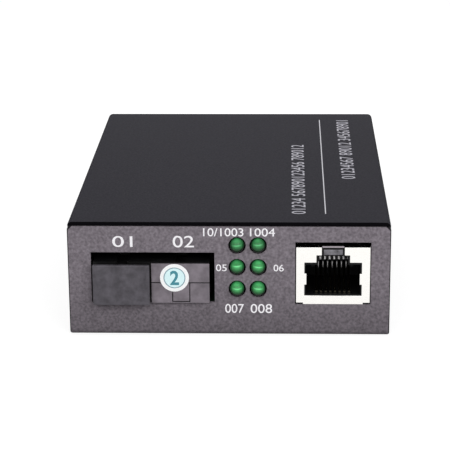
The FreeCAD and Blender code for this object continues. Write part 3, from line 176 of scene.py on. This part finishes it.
def addBump(tree, shader, source, depth):
    bump = tree.nodes.new("ShaderNodeBump")
    bump.inputs["Strength"].default_value = 1.0
    bump.inputs["Distance"].default_value = depth
    tree.links.new(source, bump.inputs["Height"])
    tree.links.new(bump.outputs["Normal"], shader.inputs["Normal"])


def shades(colour, spread):
    return [tuple(min(1, c * k) for c in colour[:3]) + (1.0,) for k in (1 - spread, 1, 1 + spread)]


# a colour that runs from a darker to a lighter shade of itself
def addMottle(tree, source, colour, spread, low=0.3, high=0.7):
    dark, middle, light = shades(colour, spread)
    return addRamp(tree, source, [(low, dark), (0.5, middle), (high, light)])


# low and high are the roughness where the source is 0 and where it is 1
def addSkin(tree, shader, paint, source, low, high):
    tree.links.new(paint, shader.inputs["Base Color"])
    tree.links.new(addRange(tree, source, low, high), shader.inputs["Roughness"])


def addMath(tree, kind, first, *numbers):
    step = tree.nodes.new("ShaderNodeMath")
    step.operation = kind
    tree.links.new(first, step.inputs[0])
    for slot, number in enumerate(numbers, 1):
        if isinstance(number, bpy.types.NodeSocket):
            tree.links.new(number, step.inputs[slot])
        else:
            step.inputs[slot].default_value = number
    return step.outputs[0]


def addSplit(tree, place):
    split = tree.nodes.new("ShaderNodeSeparateXYZ")
    tree.links.new(place, split.inputs[0])
    return split.outputs


def addBlend(tree, kind, share, first, second):
    blend = tree.nodes.new("ShaderNodeMix")
    blend.data_type = "RGBA"
    blend.blend_type = kind
    values = (("Factor", "VALUE", share), ("A", "RGBA", first), ("B", "RGBA", second))
    for name, form, value in values:
        inlet = next(i for i in blend.inputs if i.name == name and i.type == form)
        if isinstance(value, bpy.types.NodeSocket):
            tree.links.new(value, inlet)
        else:
            inlet.default_value = value
    return next(o for o in blend.outputs if o.type == "RGBA")


# the edge mask paints shade on the sheet's cut edges and on the panels' rounded corners; the foot
# ramp paints shade that darkens the panels towards their foot
def powderCoat(name, colour, grain, spread, depth, roughness, gloss, paintedEdgeShade, paintedFootShade=None):
    material, tree, shader, place = startMaterial(name)
    coarse = addNoise(tree, place, grain, detail=3.0, roughness=0.55)
    paint = addMottle(tree, coarse, colour, spread, low=0.32, high=0.68)
    split = addSplit(tree, place)
    # painted shade: darker past a given reach along one axis and across the panel's rounded top
    # corners
    reach = addMath(tree, "ABSOLUTE", split[paintedEdgeShade["axis"]])
    end = addMath(tree, "GREATER_THAN", reach, paintedEdgeShade["from"])
    if "corner" in paintedEdgeShade:
        slant = addMath(tree, "ADD", reach, split["Z"])
        corner = addMath(tree, "GREATER_THAN", slant, paintedEdgeShade["corner"])
        end = addMath(tree, "MAXIMUM", end, corner)
    paint = addBlend(tree, "MIX", end, paint, paintedEdgeShade["colour"])
    # painted shade: the panel darkens towards its foot, most at its folded bottom edge
    if paintedFootShade:
        fall = addMath(tree, "DIVIDE", split["Z"], paintedFootShade["height"])
        paint = addBlend(tree, "MULTIPLY", 1.0, paint, addRamp(tree, fall, paintedFootShade["stops"]))
    addSkin(tree, shader, paint, coarse, low=roughness + 0.08, high=roughness - 0.08)
    addBump(tree, shader, coarse, depth)
    shader.inputs["Specular IOR Level"].default_value = gloss
    return material


def mouldedPlastic(
    name, colour, roughness=0.45, grain=1800, spread=0.05, depth=0.01 * mm,
    gloss=0.3, clouds=140, paintedShade=None,
):
    material, tree, shader, place = startMaterial(name)
    fine = addNoise(tree, place, grain)
    broad = addNoise(tree, place, clouds, detail=2.0)
    skin = addMottle(tree, broad, colour, spread)
    # painted shade: surfaces behind a given depth turn dark
    if paintedShade:
        behind = addMath(tree, "GREATER_THAN", addSplit(tree, place)["Y"], paintedShade["from"])
        skin = addBlend(tree, "MIX", behind, skin, paintedShade["colour"])
    addSkin(tree, shader, skin, broad, low=roughness - 0.06, high=roughness + 0.06)
    addBump(tree, shader, fine, depth)
    shader.inputs["Specular IOR Level"].default_value = gloss
    return material


def platedMetal(name, colour, roughness):
    material, tree, shader, place = startMaterial(name)
    streaks = addNoise(tree, place, scale=900, stretch=(1, 1, 14))
    plating = addMottle(tree, streaks, colour, spread=0.05)
    addSkin(tree, shader, plating, streaks, low=roughness - 0.07, high=roughness + 0.09)
    addBump(tree, shader, streaks, depth=0.004 * mm)
    shader.inputs["Metallic"].default_value = 1.0
    return material


def boardLaminate(name, colour, track):
    material, tree, shader, place = startMaterial(name)
    cells = tree.nodes.new("ShaderNodeTexBrick")
    looks = {
        "Color1": colour, "Color2": shades(colour, spread=0.2)[0], "Mortar": track,
        "Scale": 260, "Mortar Size": 0.03, "Brick Width": 1.6,
    }
    for inlet, value in looks.items():
        cells.inputs[inlet].default_value = value
    tree.links.new(place, cells.inputs["Vector"])
    weave = addNoise(tree, place, scale=2600)
    addSkin(tree, shader, cells.outputs["Color"], weave, low=0.3, high=0.42)
    addBump(tree, shader, weave, depth=0.006 * mm)
    return material


def printInk(name, colour):
    material, tree, shader, place = startMaterial(name)
    specks = addNoise(tree, place, scale=3200)
    tree.links.new(addMottle(tree, specks, colour, spread=0.06), shader.inputs["Base Color"])
    addBump(tree, shader, specks, depth=0.008 * mm)
    shader.inputs["Roughness"].default_value = 0.55
    return material


# green resin: clear in each dome's middle and dark at its rim, a painted shade; the bright line
# across it, where the cup's lip sits, is a painted highlight, and each dome is painted lighter at
# its top and darker at its foot
def lampResin(name, stops, spots, cup, topRow):
    material, tree, shader, place = startMaterial(name)
    split = addSplit(tree, place)
    offsets = []
    for axis, start, pitch in (("X", spots["x"], spots["across"]), ("Z", spots["z"], spots["up"])):
        near = addMath(tree, "WRAP", split[axis], start + pitch / 2, start - pitch / 2)
        offset = addMath(tree, "SUBTRACT", near, start)
        offsets.append(addMath(tree, "DIVIDE", offset, spots["radius"]))
    squares = [addMath(tree, "MULTIPLY", offset, offset) for offset in offsets]
    away = addMath(tree, "SQRT", addMath(tree, "ADD", *squares))
    cloud = addNoise(tree, place, scale=900, detail=2.0)
    wavy = addMath(tree, "MULTIPLY_ADD", cloud, cup["haze"], away)
    resinRimShade = addRamp(tree, addMath(tree, "SUBTRACT", wavy, cup["haze"] / 2), stops["rim"])
    height = addMath(tree, "MULTIPLY_ADD", offsets[1], 0.5, 0.5)  # 0 at the foot, 1 at the top
    drift = addNoise(tree, place, cup["drift"], detail=0.0)  # moves the lip from lamp to lamp
    level = addMath(tree, "MULTIPLY_ADD", squares[0], -cup["smile"], height)
    level = addMath(tree, "MULTIPLY_ADD", drift, cup["sway"], level)
    # painted highlight: a bright line across each dome
    lip = addRamp(tree, addMath(tree, "SUBTRACT", level, cup["sway"] / 2), stops["lip"])
    wide = addMath(tree, "DIVIDE", addMath(tree, "ABSOLUTE", offsets[0]), cup["halfWidth"])
    beside = addMath(tree, "MINIMUM", addMath(tree, "POWER", wide, cup["falloff"]), 1.0)
    # painted light and shade: each dome lighter at its top and darker at its foot
    light = addBlend(tree, "MIX", beside, lip, addRamp(tree, height, stops["paintedTopLight"]))
    clear = addBlend(tree, "MULTIPLY", 1.0, resinRimShade, light)
    upper = addMath(tree, "GREATER_THAN", split["Z"], topRow["above"])
    shaded = addBlend(tree, "MULTIPLY", upper, clear, topRow["colour"])
    tree.links.new(shaded, shader.inputs["Base Color"])
    shader.inputs["Roughness"].default_value = 0.2
    shader.inputs["Specular IOR Level"].default_value = 0.22
    return material


finishes = {
    "coverPaint": powderCoat(
        "coverPaint", tone(41, 40, 46),
        grain=2200, spread=0.14, depth=0.02 * mm, roughness=0.6, gloss=0.008,
        # painted shade on the cover's front cut edge
        paintedEdgeShade={"axis": "Y", "from": 47.46 * mm, "colour": tone(12, 11, 14)},
    ),
    # painted light: the panel's grey stands for the case's dark paint lit from the front
    "frontLitPanelPaint": powderCoat(
        "frontLitPanelPaint", tone(122, 115, 122),
        grain=1700, spread=0.3, depth=0.03 * mm, roughness=0.6, gloss=0.12,
        # painted shade on the panel's side edges and rounded top corners
        paintedEdgeShade={
            "axis": "X", "from": 34.8 * mm, "corner": 58.95 * mm, "colour": tone(30, 28, 32),
        },
        # painted shade darkening the panel towards its foot
        paintedFootShade={
            "height": 26 * mm,
            "stops": [
                (0, tone(130, 130, 130)), (0.012, tone(184, 184, 184)), (0.03, tone(209, 209, 209)),
                (0.5, tone(248, 248, 248)), (1, tone(250, 250, 250)),
            ],
        },
    ),
    "darkSteel": platedMetal("darkSteel", tone(52, 52, 55), 0.35),
    "zincSteel": platedMetal("zincSteel", tone(200, 200, 202), 0.3),
    "tinnedSteel": platedMetal("tinnedSteel", tone(246, 244, 240), 0.2),
    "boardGreen": boardLaminate("boardGreen", tone(11, 40, 22), tone(24, 70, 40)),
    "blackNylon": mouldedPlastic("blackNylon", tone(13, 13, 14), gloss=0.15),
    # painted reflection: grey and pale slabs standing in for the light on the jack's glossy black
    # latch boss
    "browFaceSheen": mouldedPlastic("browFaceSheen", tone(106, 104, 109), spread=0.6, clouds=760),
    "browLipHighlight": mouldedPlastic("browLipHighlight", tone(164, 156, 162)),
    "clipResin": mouldedPlastic("clipResin", tone(205, 203, 196), roughness=0.4),
    # painted shade on the blank's top, sides and grooves behind its face
    "blankPlastic": mouldedPlastic(
        "blankPlastic", tone(118, 111, 118),
        roughness=0.5, grain=2200, spread=0.28, depth=0.014 * mm, clouds=420,
        paintedShade={"from": -48.22 * mm, "colour": tone(20, 19, 21)},
    ),
    # painted shade on the plug's stem behind its cap
    "plugPlastic": mouldedPlastic(
        "plugPlastic", tone(76, 73, 79), roughness=0.5, grain=2200, spread=0.36, clouds=520,
        paintedShade={"from": -48.85 * mm, "colour": tone(16, 15, 17)},
    ),
    "labelPaper": printInk("labelPaper", tone(253, 254, 255)),
    "contactGold": platedMetal("contactGold", tone(150, 142, 122), 0.12),
    "contactBright": platedMetal("contactBright", tone(186, 184, 184), 0.32),
    # painted highlights: metal for the glint slivers between the comb's teeth
    "glintSliver": platedMetal("glintSliver", tone(152, 150, 150), 0.32),
    "chipResin": mouldedPlastic("chipResin", tone(30, 30, 32), roughness=0.5),
    "ceramicTan": mouldedPlastic("ceramicTan", tone(166, 142, 112), roughness=0.55),
    "canAluminium": platedMetal("canAluminium", tone(208, 208, 212), 0.3),
    "whiteInk": printInk("whiteInk", tone(246, 244, 248)),
    "hairlineInk": printInk("hairlineInk", tone(168, 167, 175)),
    "rowInk": printInk("rowInk", tone(136, 134, 145)),
    "tealInk": printInk("tealInk", tone(62, 136, 150)),
    "ringInk": printInk("ringInk", tone(128, 158, 170)),
    "paleInk": printInk("paleInk", tone(222, 251, 254)),
    # painted shade at the domes' rims and feet, painted light at their tops and a painted highlight
    # line across them
    "lampGreen": lampResin(
        "lampGreen",
        {
            "rim": [
                (0.2, tone(112, 222, 142)), (0.65, tone(84, 186, 112)), (0.86, tone(38, 112, 64)),
                (1.0, tone(4, 20, 10)),
            ],
            "lip": [
                (0.1, tone(78, 92, 84)), (0.34, tone(158, 172, 164)), (0.44, tone(188, 196, 190)),
                (0.47, tone(255, 255, 255)), (0.52, tone(255, 255, 255)),
                (0.56, tone(138, 160, 146)), (0.66, tone(160, 182, 168)),
                (0.8, tone(232, 242, 236)), (0.92, tone(255, 255, 255)),
            ],
            "paintedTopLight": [
                (0.1, tone(70, 84, 76)), (0.4, tone(150, 166, 156)), (0.6, tone(176, 194, 182)),
                (0.8, tone(232, 242, 236)), (0.92, tone(255, 255, 255)),
            ],
        },
        {"x": 1.8 * mm, "z": 11.1 * mm, "across": 4.56 * mm, "up": 4.97 * mm, "radius": 1.65 * mm},
        {
            "halfWidth": 0.68, "falloff": 3.0, "smile": 0.09, "drift": 170, "sway": 0.3,
            "haze": 0.16,
        },
        {"above": 18.2 * mm, "colour": tone(214, 214, 218)},
    ),
}

nodeFinishes = {
    "base_tray": "frontLitPanelPaint", "top_cover": "coverPaint", "cover_screws": "darkSteel",
    "board_standoffs": "zincSteel", "board_screws": "zincSteel", "circuit_board": "boardGreen",
    "transceiver_housing": "blackNylon", "transceiver_base": "blackNylon",
    "transceiver_board": "boardGreen", "transceiver_pins": "contactGold",
    "optical_barrel": "zincSteel", "latch_clip": "clipResin", "port_blank": "blankPlastic",
    "port_sticker": "labelPaper", "dust_plug": "plugPlastic",
    "network_jack_housing": "blackNylon", "network_jack_shield": "tinnedSteel",
    "network_jack_contacts": "contactGold", "indicator_holders": "blackNylon",
    "indicator_lamps": "lampGreen", "indicator_leads": "tinnedSteel",
    "power_jack_body": "blackNylon", "power_jack_pin": "tinnedSteel",
    "power_jack_spring": "contactGold", "line_transformer": "chipResin",
    "transformer_leads": "tinnedSteel", "converter_chip": "chipResin", "chip_leads": "tinnedSteel",
    "timing_crystal": "zincSteel", "filter_capacitors": "canAluminium", "supply_choke": "chipResin",
    "voltage_regulator": "chipResin", "chip_resistors": "chipResin",
    "chip_capacitors": "ceramicTan",
}


def dress(piece, finish):
    if not piece.material_slots:
        piece.data.materials.append(finishes[finish])
    for place in piece.material_slots:
        place.material = finishes[finish]


for nodeName, finish in nodeFinishes.items():
    dress(nodes[nodeName], finish)
print("materials ready")


# camera
camera = {
    "place": (12.458 * mm, -410.63 * mm, 141.65 * mm),
    "lens": 141.8,
    "sensor": 36,
    "nearClip": 0.01,
    "yaw": -2.083,
    "pitch": 17.744,
    "roll": -0.4655,
}
cameraData = bpy.data.cameras.new("camera")
cameraData.lens = camera["lens"]
cameraData.sensor_width = camera["sensor"]
cameraData.clip_start = camera["nearClip"]
cameraObject = bpy.data.objects.new("camera", cameraData)
bpy.context.scene.collection.objects.link(cameraObject)
yaw, pitch, roll = (math.radians(camera[k]) for k in ("yaw", "pitch", "roll"))
level = Vector((math.sin(yaw), math.cos(yaw), 0))
forward = level * math.cos(pitch) - Vector((0, 0, math.sin(pitch)))
right = Vector((math.cos(yaw), -math.sin(yaw), 0))
up = right.cross(forward)
side = math.cos(roll) * right + math.sin(roll) * up
top = -math.sin(roll) * right + math.cos(roll) * up
turned = Matrix((side, top, -forward)).transposed().to_4x4()
cameraObject.matrix_world = Matrix.Translation(camera["place"]) @ turned
bpy.context.scene.camera = cameraObject

# lamps, world and floor
studio = {
    "world": 0.6,
    "lamps": [
        {"name": "keyLamp", "place": (-0.3, -0.75, 0.46), "size": 0.5, "power": 2.4},
        {"name": "fillLamp", "place": (0.24, -0.42, 0.3), "size": 0.35, "power": 1.2},
        {"name": "backLamp", "place": (0.0, 0.26, 0.15), "size": 0.25, "power": 0.32},
    ],
    "aim": (0, 0, 0.01),
    "floor": {
        "size": 6.0, "greys": (0.25, 0.2525), "grain": 30,
        "roughness": 0.9, "gloss": 0.1, "lift": 0.82,
    },
}
bpy.context.scene.view_settings.view_transform = "Standard"


# 1 where the camera, a reflection or clear resin looks at the backdrop
def addLooks(tree):
    path = tree.nodes.new("ShaderNodeLightPath")
    seen = addMath(tree, "MAXIMUM", path.outputs["Is Camera Ray"], path.outputs["Is Glossy Ray"])
    return addMath(tree, "MAXIMUM", seen, path.outputs["Is Transmission Ray"])


def makeWorld(strength):
    world = bpy.data.worlds.new("studio")
    bpy.context.scene.world = world
    world.use_nodes = True
    tree = world.node_tree
    plain = tree.nodes["Background"]
    white = tree.nodes.new("ShaderNodeBackground")
    for background, level in ((plain, strength), (white, 1.0)):
        background.inputs["Color"].default_value = (1, 1, 1, 1)
        background.inputs["Strength"].default_value = level
    mix = tree.nodes.new("ShaderNodeMixShader")
    tree.links.new(addLooks(tree), mix.inputs[0])
    tree.links.new(plain.outputs[0], mix.inputs[1])
    tree.links.new(white.outputs[0], mix.inputs[2])
    tree.links.new(mix.outputs[0], tree.nodes["World Output"].inputs["Surface"])


def makeStudioLamp(lamp, aim):
    light = bpy.data.lights.new(lamp["name"], "AREA")
    light.size = lamp["size"]
    light.energy = lamp["power"]
    lampObject = bpy.data.objects.new(lamp["name"], light)
    bpy.context.scene.collection.objects.link(lampObject)
    lampObject.location = lamp["place"]
    way = Vector(aim) - Vector(lamp["place"])
    lampObject.rotation_euler = way.to_track_quat("-Z", "Y").to_euler()


def makeFloor(part):
    bpy.ops.object.select_all(action="DESELECT")
    bpy.ops.mesh.primitive_plane_add(size=part["size"], location=(0, 0, 0))
    floor = bpy.context.object
    floor.name = "floor"
    floorPaint, tree, shader, place = startMaterial("floorPaint")
    specks = addNoise(tree, place, part["grain"])
    dark, light = ((grey, grey, grey, 1) for grey in part["greys"])
    paint = addRamp(tree, specks, [(0.3, dark), (0.7, light)])
    tree.links.new(paint, shader.inputs["Base Color"])
    shader.inputs["Roughness"].default_value = part["roughness"]
    shader.inputs["Specular IOR Level"].default_value = part["gloss"]
    glow = tree.nodes.new("ShaderNodeEmission")
    glow.inputs["Color"].default_value = (1, 1, 1, 1)
    lift = addMath(tree, "MULTIPLY", addLooks(tree), part["lift"])
    tree.links.new(lift, glow.inputs["Strength"])
    both = tree.nodes.new("ShaderNodeAddShader")
    tree.links.new(shader.outputs[0], both.inputs[0])
    tree.links.new(glow.outputs[0], both.inputs[1])
    tree.links.new(both.outputs[0], tree.nodes["Material Output"].inputs["Surface"])
    floor.data.materials.append(floorPaint)
    return floor


makeWorld(studio["world"])
for lamp in studio["lamps"]:
    makeStudioLamp(lamp, studio["aim"])
floor = makeFloor(studio["floor"])
print("camera, lamps and floor ready")


# a copy of a folded or moulded node with its sharp edges eased as paint or mould leaves them
easing = {"flatAngle": 0.5, "sharpAngle": 40, "smoothAngle": 50, "segments": 2, "weight": 80}


def easeEdges(nodeName, width, slotName, body):
    source = nodes[nodeName]
    piece = bpy.data.objects.new("eased_" + nodeName, source.data.copy())
    bpy.context.scene.collection.objects.link(piece)
    closeMesh(piece)
    startEdit(piece)
    bpy.ops.mesh.select_all(action="SELECT")
    bpy.ops.mesh.dissolve_limited(angle_limit=math.radians(easing["flatAngle"]))
    endEdit()
    addModifier(
        piece, "BEVEL", width=width, segments=easing["segments"], limit_method="ANGLE",
        angle_limit=math.radians(easing["sharpAngle"]), use_clamp_overlap=True,
    )
    closeMesh(piece)
    smoothByAngle(piece, easing["smoothAngle"])
    addModifier(piece, "WEIGHTED_NORMAL", keep_sharp=True, weight=easing["weight"])
    dress(piece, nodeFinishes[nodeName])
    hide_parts(nodeName)
    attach(piece, body)
    return piece


easedNodes = {
    "base_tray": (0.22 * mm, "panel_paint", "converter"),
    "top_cover": (0.08 * mm, "cover_paint", "converter"),
    "dust_plug": (0.18 * mm, "plug_plastic", "plug"),
    "port_blank": (0.08 * mm, "blank_plastic", "converter"),
    "network_jack_shield": (0.05 * mm, "tinned_steel", "converter"),
}
for nodeName, settings in easedNodes.items():
    easeEdges(nodeName, *settings)
print("eased edges ready")


# cover screws with a cross recess in each countersunk head
screwParts = {
    "heads": (-35.0, 35.0),
    "height": 10.5,
    "ease": 0.06 * mm,
    "recess": {"long": 1.45, "wide": 0.38, "deep": 1.1, "above": 0.2, "narrowing": 0.55},
}


def cutCross(piece, x, part):
    recess = part["recess"]
    inward = -1 if x > 0 else 1
    low, high = sorted((x - recess["above"] * inward, x + recess["deep"] * inward))
    for halfY, halfZ in ((recess["long"], recess["wide"]), (recess["wide"], recess["long"])):
        cutter = makeSlab(
            "crossCutter", (low, -halfY, part["height"] - halfZ),
            (high, halfY, part["height"] + halfZ),
        )
        startEdit(cutter)
        pickVerts(cutter, lambda co: (co.x - x * mm) * inward > 0)
        bpy.ops.transform.resize(
            value=(1, recess["narrowing"], recess["narrowing"]),
            center_override=(x * mm, 0, part["height"] * mm),
        )
        endEdit()
        addModifier(piece, "BOOLEAN", object=cutter, operation="DIFFERENCE", solver="EXACT")
        bpy.data.objects.remove(cutter)


crossScrews = easeEdges("cover_screws", screwParts["ease"], "blackened_steel", "converter")
for head in screwParts["heads"]:
    cutCross(crossScrews, head, screwParts)
smoothByAngle(crossScrews)
print("cover screws ready")


# indicator lamps: smooth resin domes, whose material draws the cup inside them with painted light,
# painted shade and a painted highlight
lampParts = {
    "radius": 1.6 * mm,
    "proud": 1.5 * mm,
    "columns": (1.8 * mm, 6.36 * mm),
    "rows": (10.8 * mm, 15.77 * mm, 20.74 * mm),
    "front": -47.5 * mm,
    "back": -43.3 * mm,
    "segments": 40,
    "rings": 24,
    "seam": 0.0001 * mm,
}


def makeLamp(part):
    tip = part["front"] - part["proud"]
    middle = tip + part["radius"]
    bpy.ops.object.select_all(action="DESELECT")
    bpy.ops.mesh.primitive_uv_sphere_add(
        segments=part["segments"], ring_count=part["rings"], radius=part["radius"],
        location=(0, 0, 0),
    )
    dome = bpy.context.object
    dome.data.transform(Matrix.Rotation(math.radians(90), 4, "X"))
    startEdit(dome)
    pickVerts(dome, lambda co: co.y > part["seam"])
    bpy.ops.mesh.delete(type="VERT")
    pickVerts(dome, lambda co: abs(co.y) < part["seam"])
    reach = (0, part["back"] - middle, 0)
    bpy.ops.mesh.extrude_region_move(TRANSFORM_OT_translate={"value": reach})
    bpy.ops.mesh.edge_face_add()
    endEdit()
    dome.data.transform(Matrix.Translation((0, middle, 0)))
    closeMesh(dome)
    smoothByAngle(dome)
    return dome


firstLamp = makeLamp(lampParts)
lampSpots = [Vector((x, 0, z)) for x in lampParts["columns"] for z in lampParts["rows"]]
lamps = [copyAt(firstLamp, spot) for spot in lampSpots]
bpy.data.objects.remove(firstLamp)
lampDomes = joinPieces(lamps, "lampDomes")
dress(lampDomes, "lampGreen")
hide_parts("indicator_lamps")
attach(lampDomes, "converter")
print("lamps ready")


# network jack: the latch brow's face and lip, slabs that paint the light reflected by the black
# latch boss; the contacts' tips; and the glints between them, metal slivers that stand in for
# highlights between the comb's teeth
browParts = {
    "x": 22.6,
    "face": {"halfWidth": 2.05, "low": 18.72, "high": 19.92, "front": -47.74, "back": -47.5},
    "lip": {"halfWidth": 2.375, "low": 20.36, "high": 20.67, "front": -47.76, "back": -47.5},
    "ease": 0.06 * mm,
}


# painted reflection: the face and lip slabs lay the boss's reflected light over its black plastic
for part, finish in (("face", "browFaceSheen"), ("lip", "browLipHighlight")):
    size = browParts[part]
    piece = makeSlab(
        "brow" + part.capitalize(),
        (browParts["x"] - size["halfWidth"], size["front"], size["low"]),
        (browParts["x"] + size["halfWidth"], size["back"], size["high"]),
    )
    addModifier(piece, "BEVEL", width=browParts["ease"], segments=easing["segments"])
    smoothByAngle(piece, easing["smoothAngle"])
    dress(piece, finish)
    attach(piece, "converter")

contactParts = {
    "x": 22.6,
    "pitch": 1.016,
    "thickness": 0.1,
    "tips": {
        "count": 8, "width": (0.38, 0.34), "z": (14.45, 15.5), "y": (-38.5, -38.2), "lean": -0.1,
    },
    # painted highlights: thin bright slivers between the contacts' tips
    "glints": {
        "count": 7, "width": (0.03, 0.22), "z": (13.1, 15.1), "y": (-39.66, -39.42), "lean": 0,
    },
}


def makeBlade(name, part):
    (lowWidth, highWidth), (low, high), (lowFront, highFront) = part["width"], part["z"], part["y"]
    back = lowFront + contactParts["thickness"]
    blade = makeSlab(name, (-lowWidth / 2, lowFront, low), (lowWidth / 2, back, high))
    startEdit(blade)
    pickVerts(blade, lambda co: co.z > (low + high) / 2 * mm)
    bpy.ops.transform.resize(value=(highWidth / lowWidth, 1, 1), center_override=(0, 0, 0))
    bpy.ops.transform.translate(value=(part["lean"] * mm, (highFront - lowFront) * mm, 0))
    endEdit()
    return blade


for name, finish in (("tips", "contactBright"), ("glints", "glintSliver")):
    part = contactParts[name]
    first = makeBlade(name, part)
    blades = []
    for number in range(part["count"]):
        x = contactParts["x"] + (number - (part["count"] - 1) / 2) * contactParts["pitch"]
        blades.append(copyAt(first, Vector((x * mm, 0, 0))))
    bpy.data.objects.remove(first)
    row = joinPieces(blades, "contact" + name.capitalize())
    dress(row, finish)
    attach(row, "converter")
print("network jack details ready")


# printed marks on the front panel: plain numbers over the ports and beside the lamps
panelMarks = {
    "lift": 0.015 * mm,
    "bold": 0.01 * mm,
    "numbers": [
        {"text": "01", "x": (-25.2, -20.8), "z": (20.3, 22.8)},
        {"text": "02", "x": (-12.1, -7.5), "z": (20.25, 22.9)},
        {"text": "10/1003", "x": (-5.5, 3.2), "z": (22.8, 24.65)},
        {"text": "1004", "x": (4.6, 10.0), "z": (22.8, 24.65)},
        {"text": "05", "x": (-2.8, -0.45), "z": (14.85, 16.4)},
        {"text": "06", "x": (9.7, 11.9), "z": (14.85, 16.4)},
        {"text": "007", "x": (-0.85, 3.25), "z": (5.2, 7.3)},
        {"text": "008", "x": (4.7, 9.4), "z": (5.2, 7.3)},
    ],
}
digitShare = 0.73  # a digit's height as a share of the font's size


def printWords(name, text, span, height, lift, bold, place):
    bpy.ops.object.select_all(action="DESELECT")
    bpy.ops.object.text_add(location=(0, 0, 0))
    words = bpy.context.object
    words.name = name
    words.data.body = text
    words.data.size = height / digitShare
    words.data.offset = bold
    words.data.extrude = lift
    onlySelect(words)
    bpy.ops.object.convert(target="MESH")
    words = bpy.context.object
    verts = words.data.vertices
    left, foot = (min(v.co[axis] for v in verts) for axis in (0, 1))
    right, head = (max(v.co[axis] for v in verts) for axis in (0, 1))
    words.data.transform(Matrix.Translation((-(left + right) / 2, -(foot + head) / 2, 0)))
    words.data.transform(Matrix.Diagonal((span / (right - left), height / (head - foot), 1, 1)))
    words.data.transform(place)
    closeMesh(words)
    return words


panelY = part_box("base_tray")[0].y
facing = Matrix.Rotation(math.radians(90), 4, "X")
marks = []
for number in panelMarks["numbers"]:
    (left, right), (low, high) = ((end * mm for end in number[axis]) for axis in ("x", "z"))
    place = Matrix.Translation(((left + right) / 2, panelY, (low + high) / 2)) @ facing
    marks.append(
        printWords(
            "number" + number["text"], number["text"], right - left, high - low,
            panelMarks["lift"], panelMarks["bold"], place,
        )
    )
panelPrint = joinPieces(marks, "panelPrint")
dress(panelPrint, "whiteInk")
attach(panelPrint, "converter")
print("panel numbers ready")


# printed marks on the cover: a hairline and two rows of numbers that read towards the rear
coverMarks = {
    "lift": 0.012 * mm,
    "bold": 0,
    "line": {"x": 21.0, "y": (-41.1, 41.0), "width": 0.24, "taper": 0.1, "narrowing": 0.5},
    "rows": [
        {"text": "01234 567890123456 789012", "x": (13.6, 16.7), "y": (-41.3, 16.0)},
        {"text": "01234567 89012 345678901", "x": (25.3, 28.5), "y": (-13.9, 40.6)},
    ],
}
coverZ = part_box("top_cover")[1].z


def makeHairline(part, lift, height):
    half = part["width"] / 2
    line = makeSlab(
        "hairline", (part["x"] - half, part["y"][0], height - lift),
        (part["x"] + half, part["y"][1], height + lift),
    )
    for end in part["y"]:
        startEdit(line)
        pickVerts(line, lambda co: co.y * end > 0)
        step = math.copysign(part["taper"] * mm, end)
        bpy.ops.mesh.extrude_region_move(TRANSFORM_OT_translate={"value": (0, step, 0)})
        bpy.ops.transform.resize(
            value=(part["narrowing"], 1, 1), center_override=(part["x"] * mm, 0, 0)
        )
        endEdit()
    return line


hairline = makeHairline(coverMarks["line"], coverMarks["lift"] / mm, coverZ / mm)
rows = []
alongCover = Matrix.Rotation(math.radians(90), 4, "Z")
for row in coverMarks["rows"]:
    (left, right), (front, back) = ((end * mm for end in row[axis]) for axis in ("x", "y"))
    place = Matrix.Translation(((left + right) / 2, (front + back) / 2, coverZ)) @ alongCover
    rows.append(
        printWords(
            "coverRow", row["text"], back - front, right - left,
            coverMarks["lift"], coverMarks["bold"], place,
        )
    )
coverPrint = joinPieces(rows, "coverPrint")
for piece, finish in ((hairline, "hairlineInk"), (coverPrint, "rowInk")):
    dress(piece, finish)
    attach(piece, "converter")
print("cover marks ready")


# the round label's ring, field and number: the field lies lower than the number on it
labelMarks = {
    "ring": 2.38 * mm,
    "ringWidth": 0.2 * mm,
    "field": 2.2 * mm,
    "lift": 0.012 * mm,
    "fieldShare": 0.6,
    "text": "2",
    "height": 3.3 * mm,
    "width": 1.95 * mm,
    "bold": 0.11 * mm,
    "sides": 64,
}
low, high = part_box("port_sticker")
labelPlace = Matrix.Translation(((low.x + high.x) / 2, low.y, (low.z + high.z) / 2)) @ facing


def makeDisc(name, radius, hole, lift):
    bpy.ops.object.select_all(action="DESELECT")
    bpy.ops.mesh.primitive_circle_add(
        vertices=labelMarks["sides"], radius=radius, fill_type="NGON", location=(0, 0, 0),
    )
    disc = bpy.context.object
    disc.name = name
    startEdit(disc)
    bpy.ops.mesh.select_all(action="SELECT")
    if hole:
        bpy.ops.mesh.inset(thickness=radius - hole)
        bpy.ops.mesh.delete(type="FACE")
    endEdit()
    addModifier(disc, "SOLIDIFY", thickness=2 * lift, offset=0)
    disc.data.transform(labelPlace)
    closeMesh(disc)
    return disc


ring, lift = labelMarks["ring"], labelMarks["lift"]
labelRing = makeDisc("labelRing", ring, ring - labelMarks["ringWidth"], lift)
labelField = makeDisc("labelField", labelMarks["field"], 0, lift * labelMarks["fieldShare"])
labelNumber = printWords(
    "labelNumber", labelMarks["text"], labelMarks["width"], labelMarks["height"], lift,
    labelMarks["bold"], labelPlace,
)
for piece, finish in ((labelRing, "ringInk"), (labelField, "paleInk"), (labelNumber, "tealInk")):
    dress(piece, finish)
    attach(piece, "converter")
print("label marks ready")
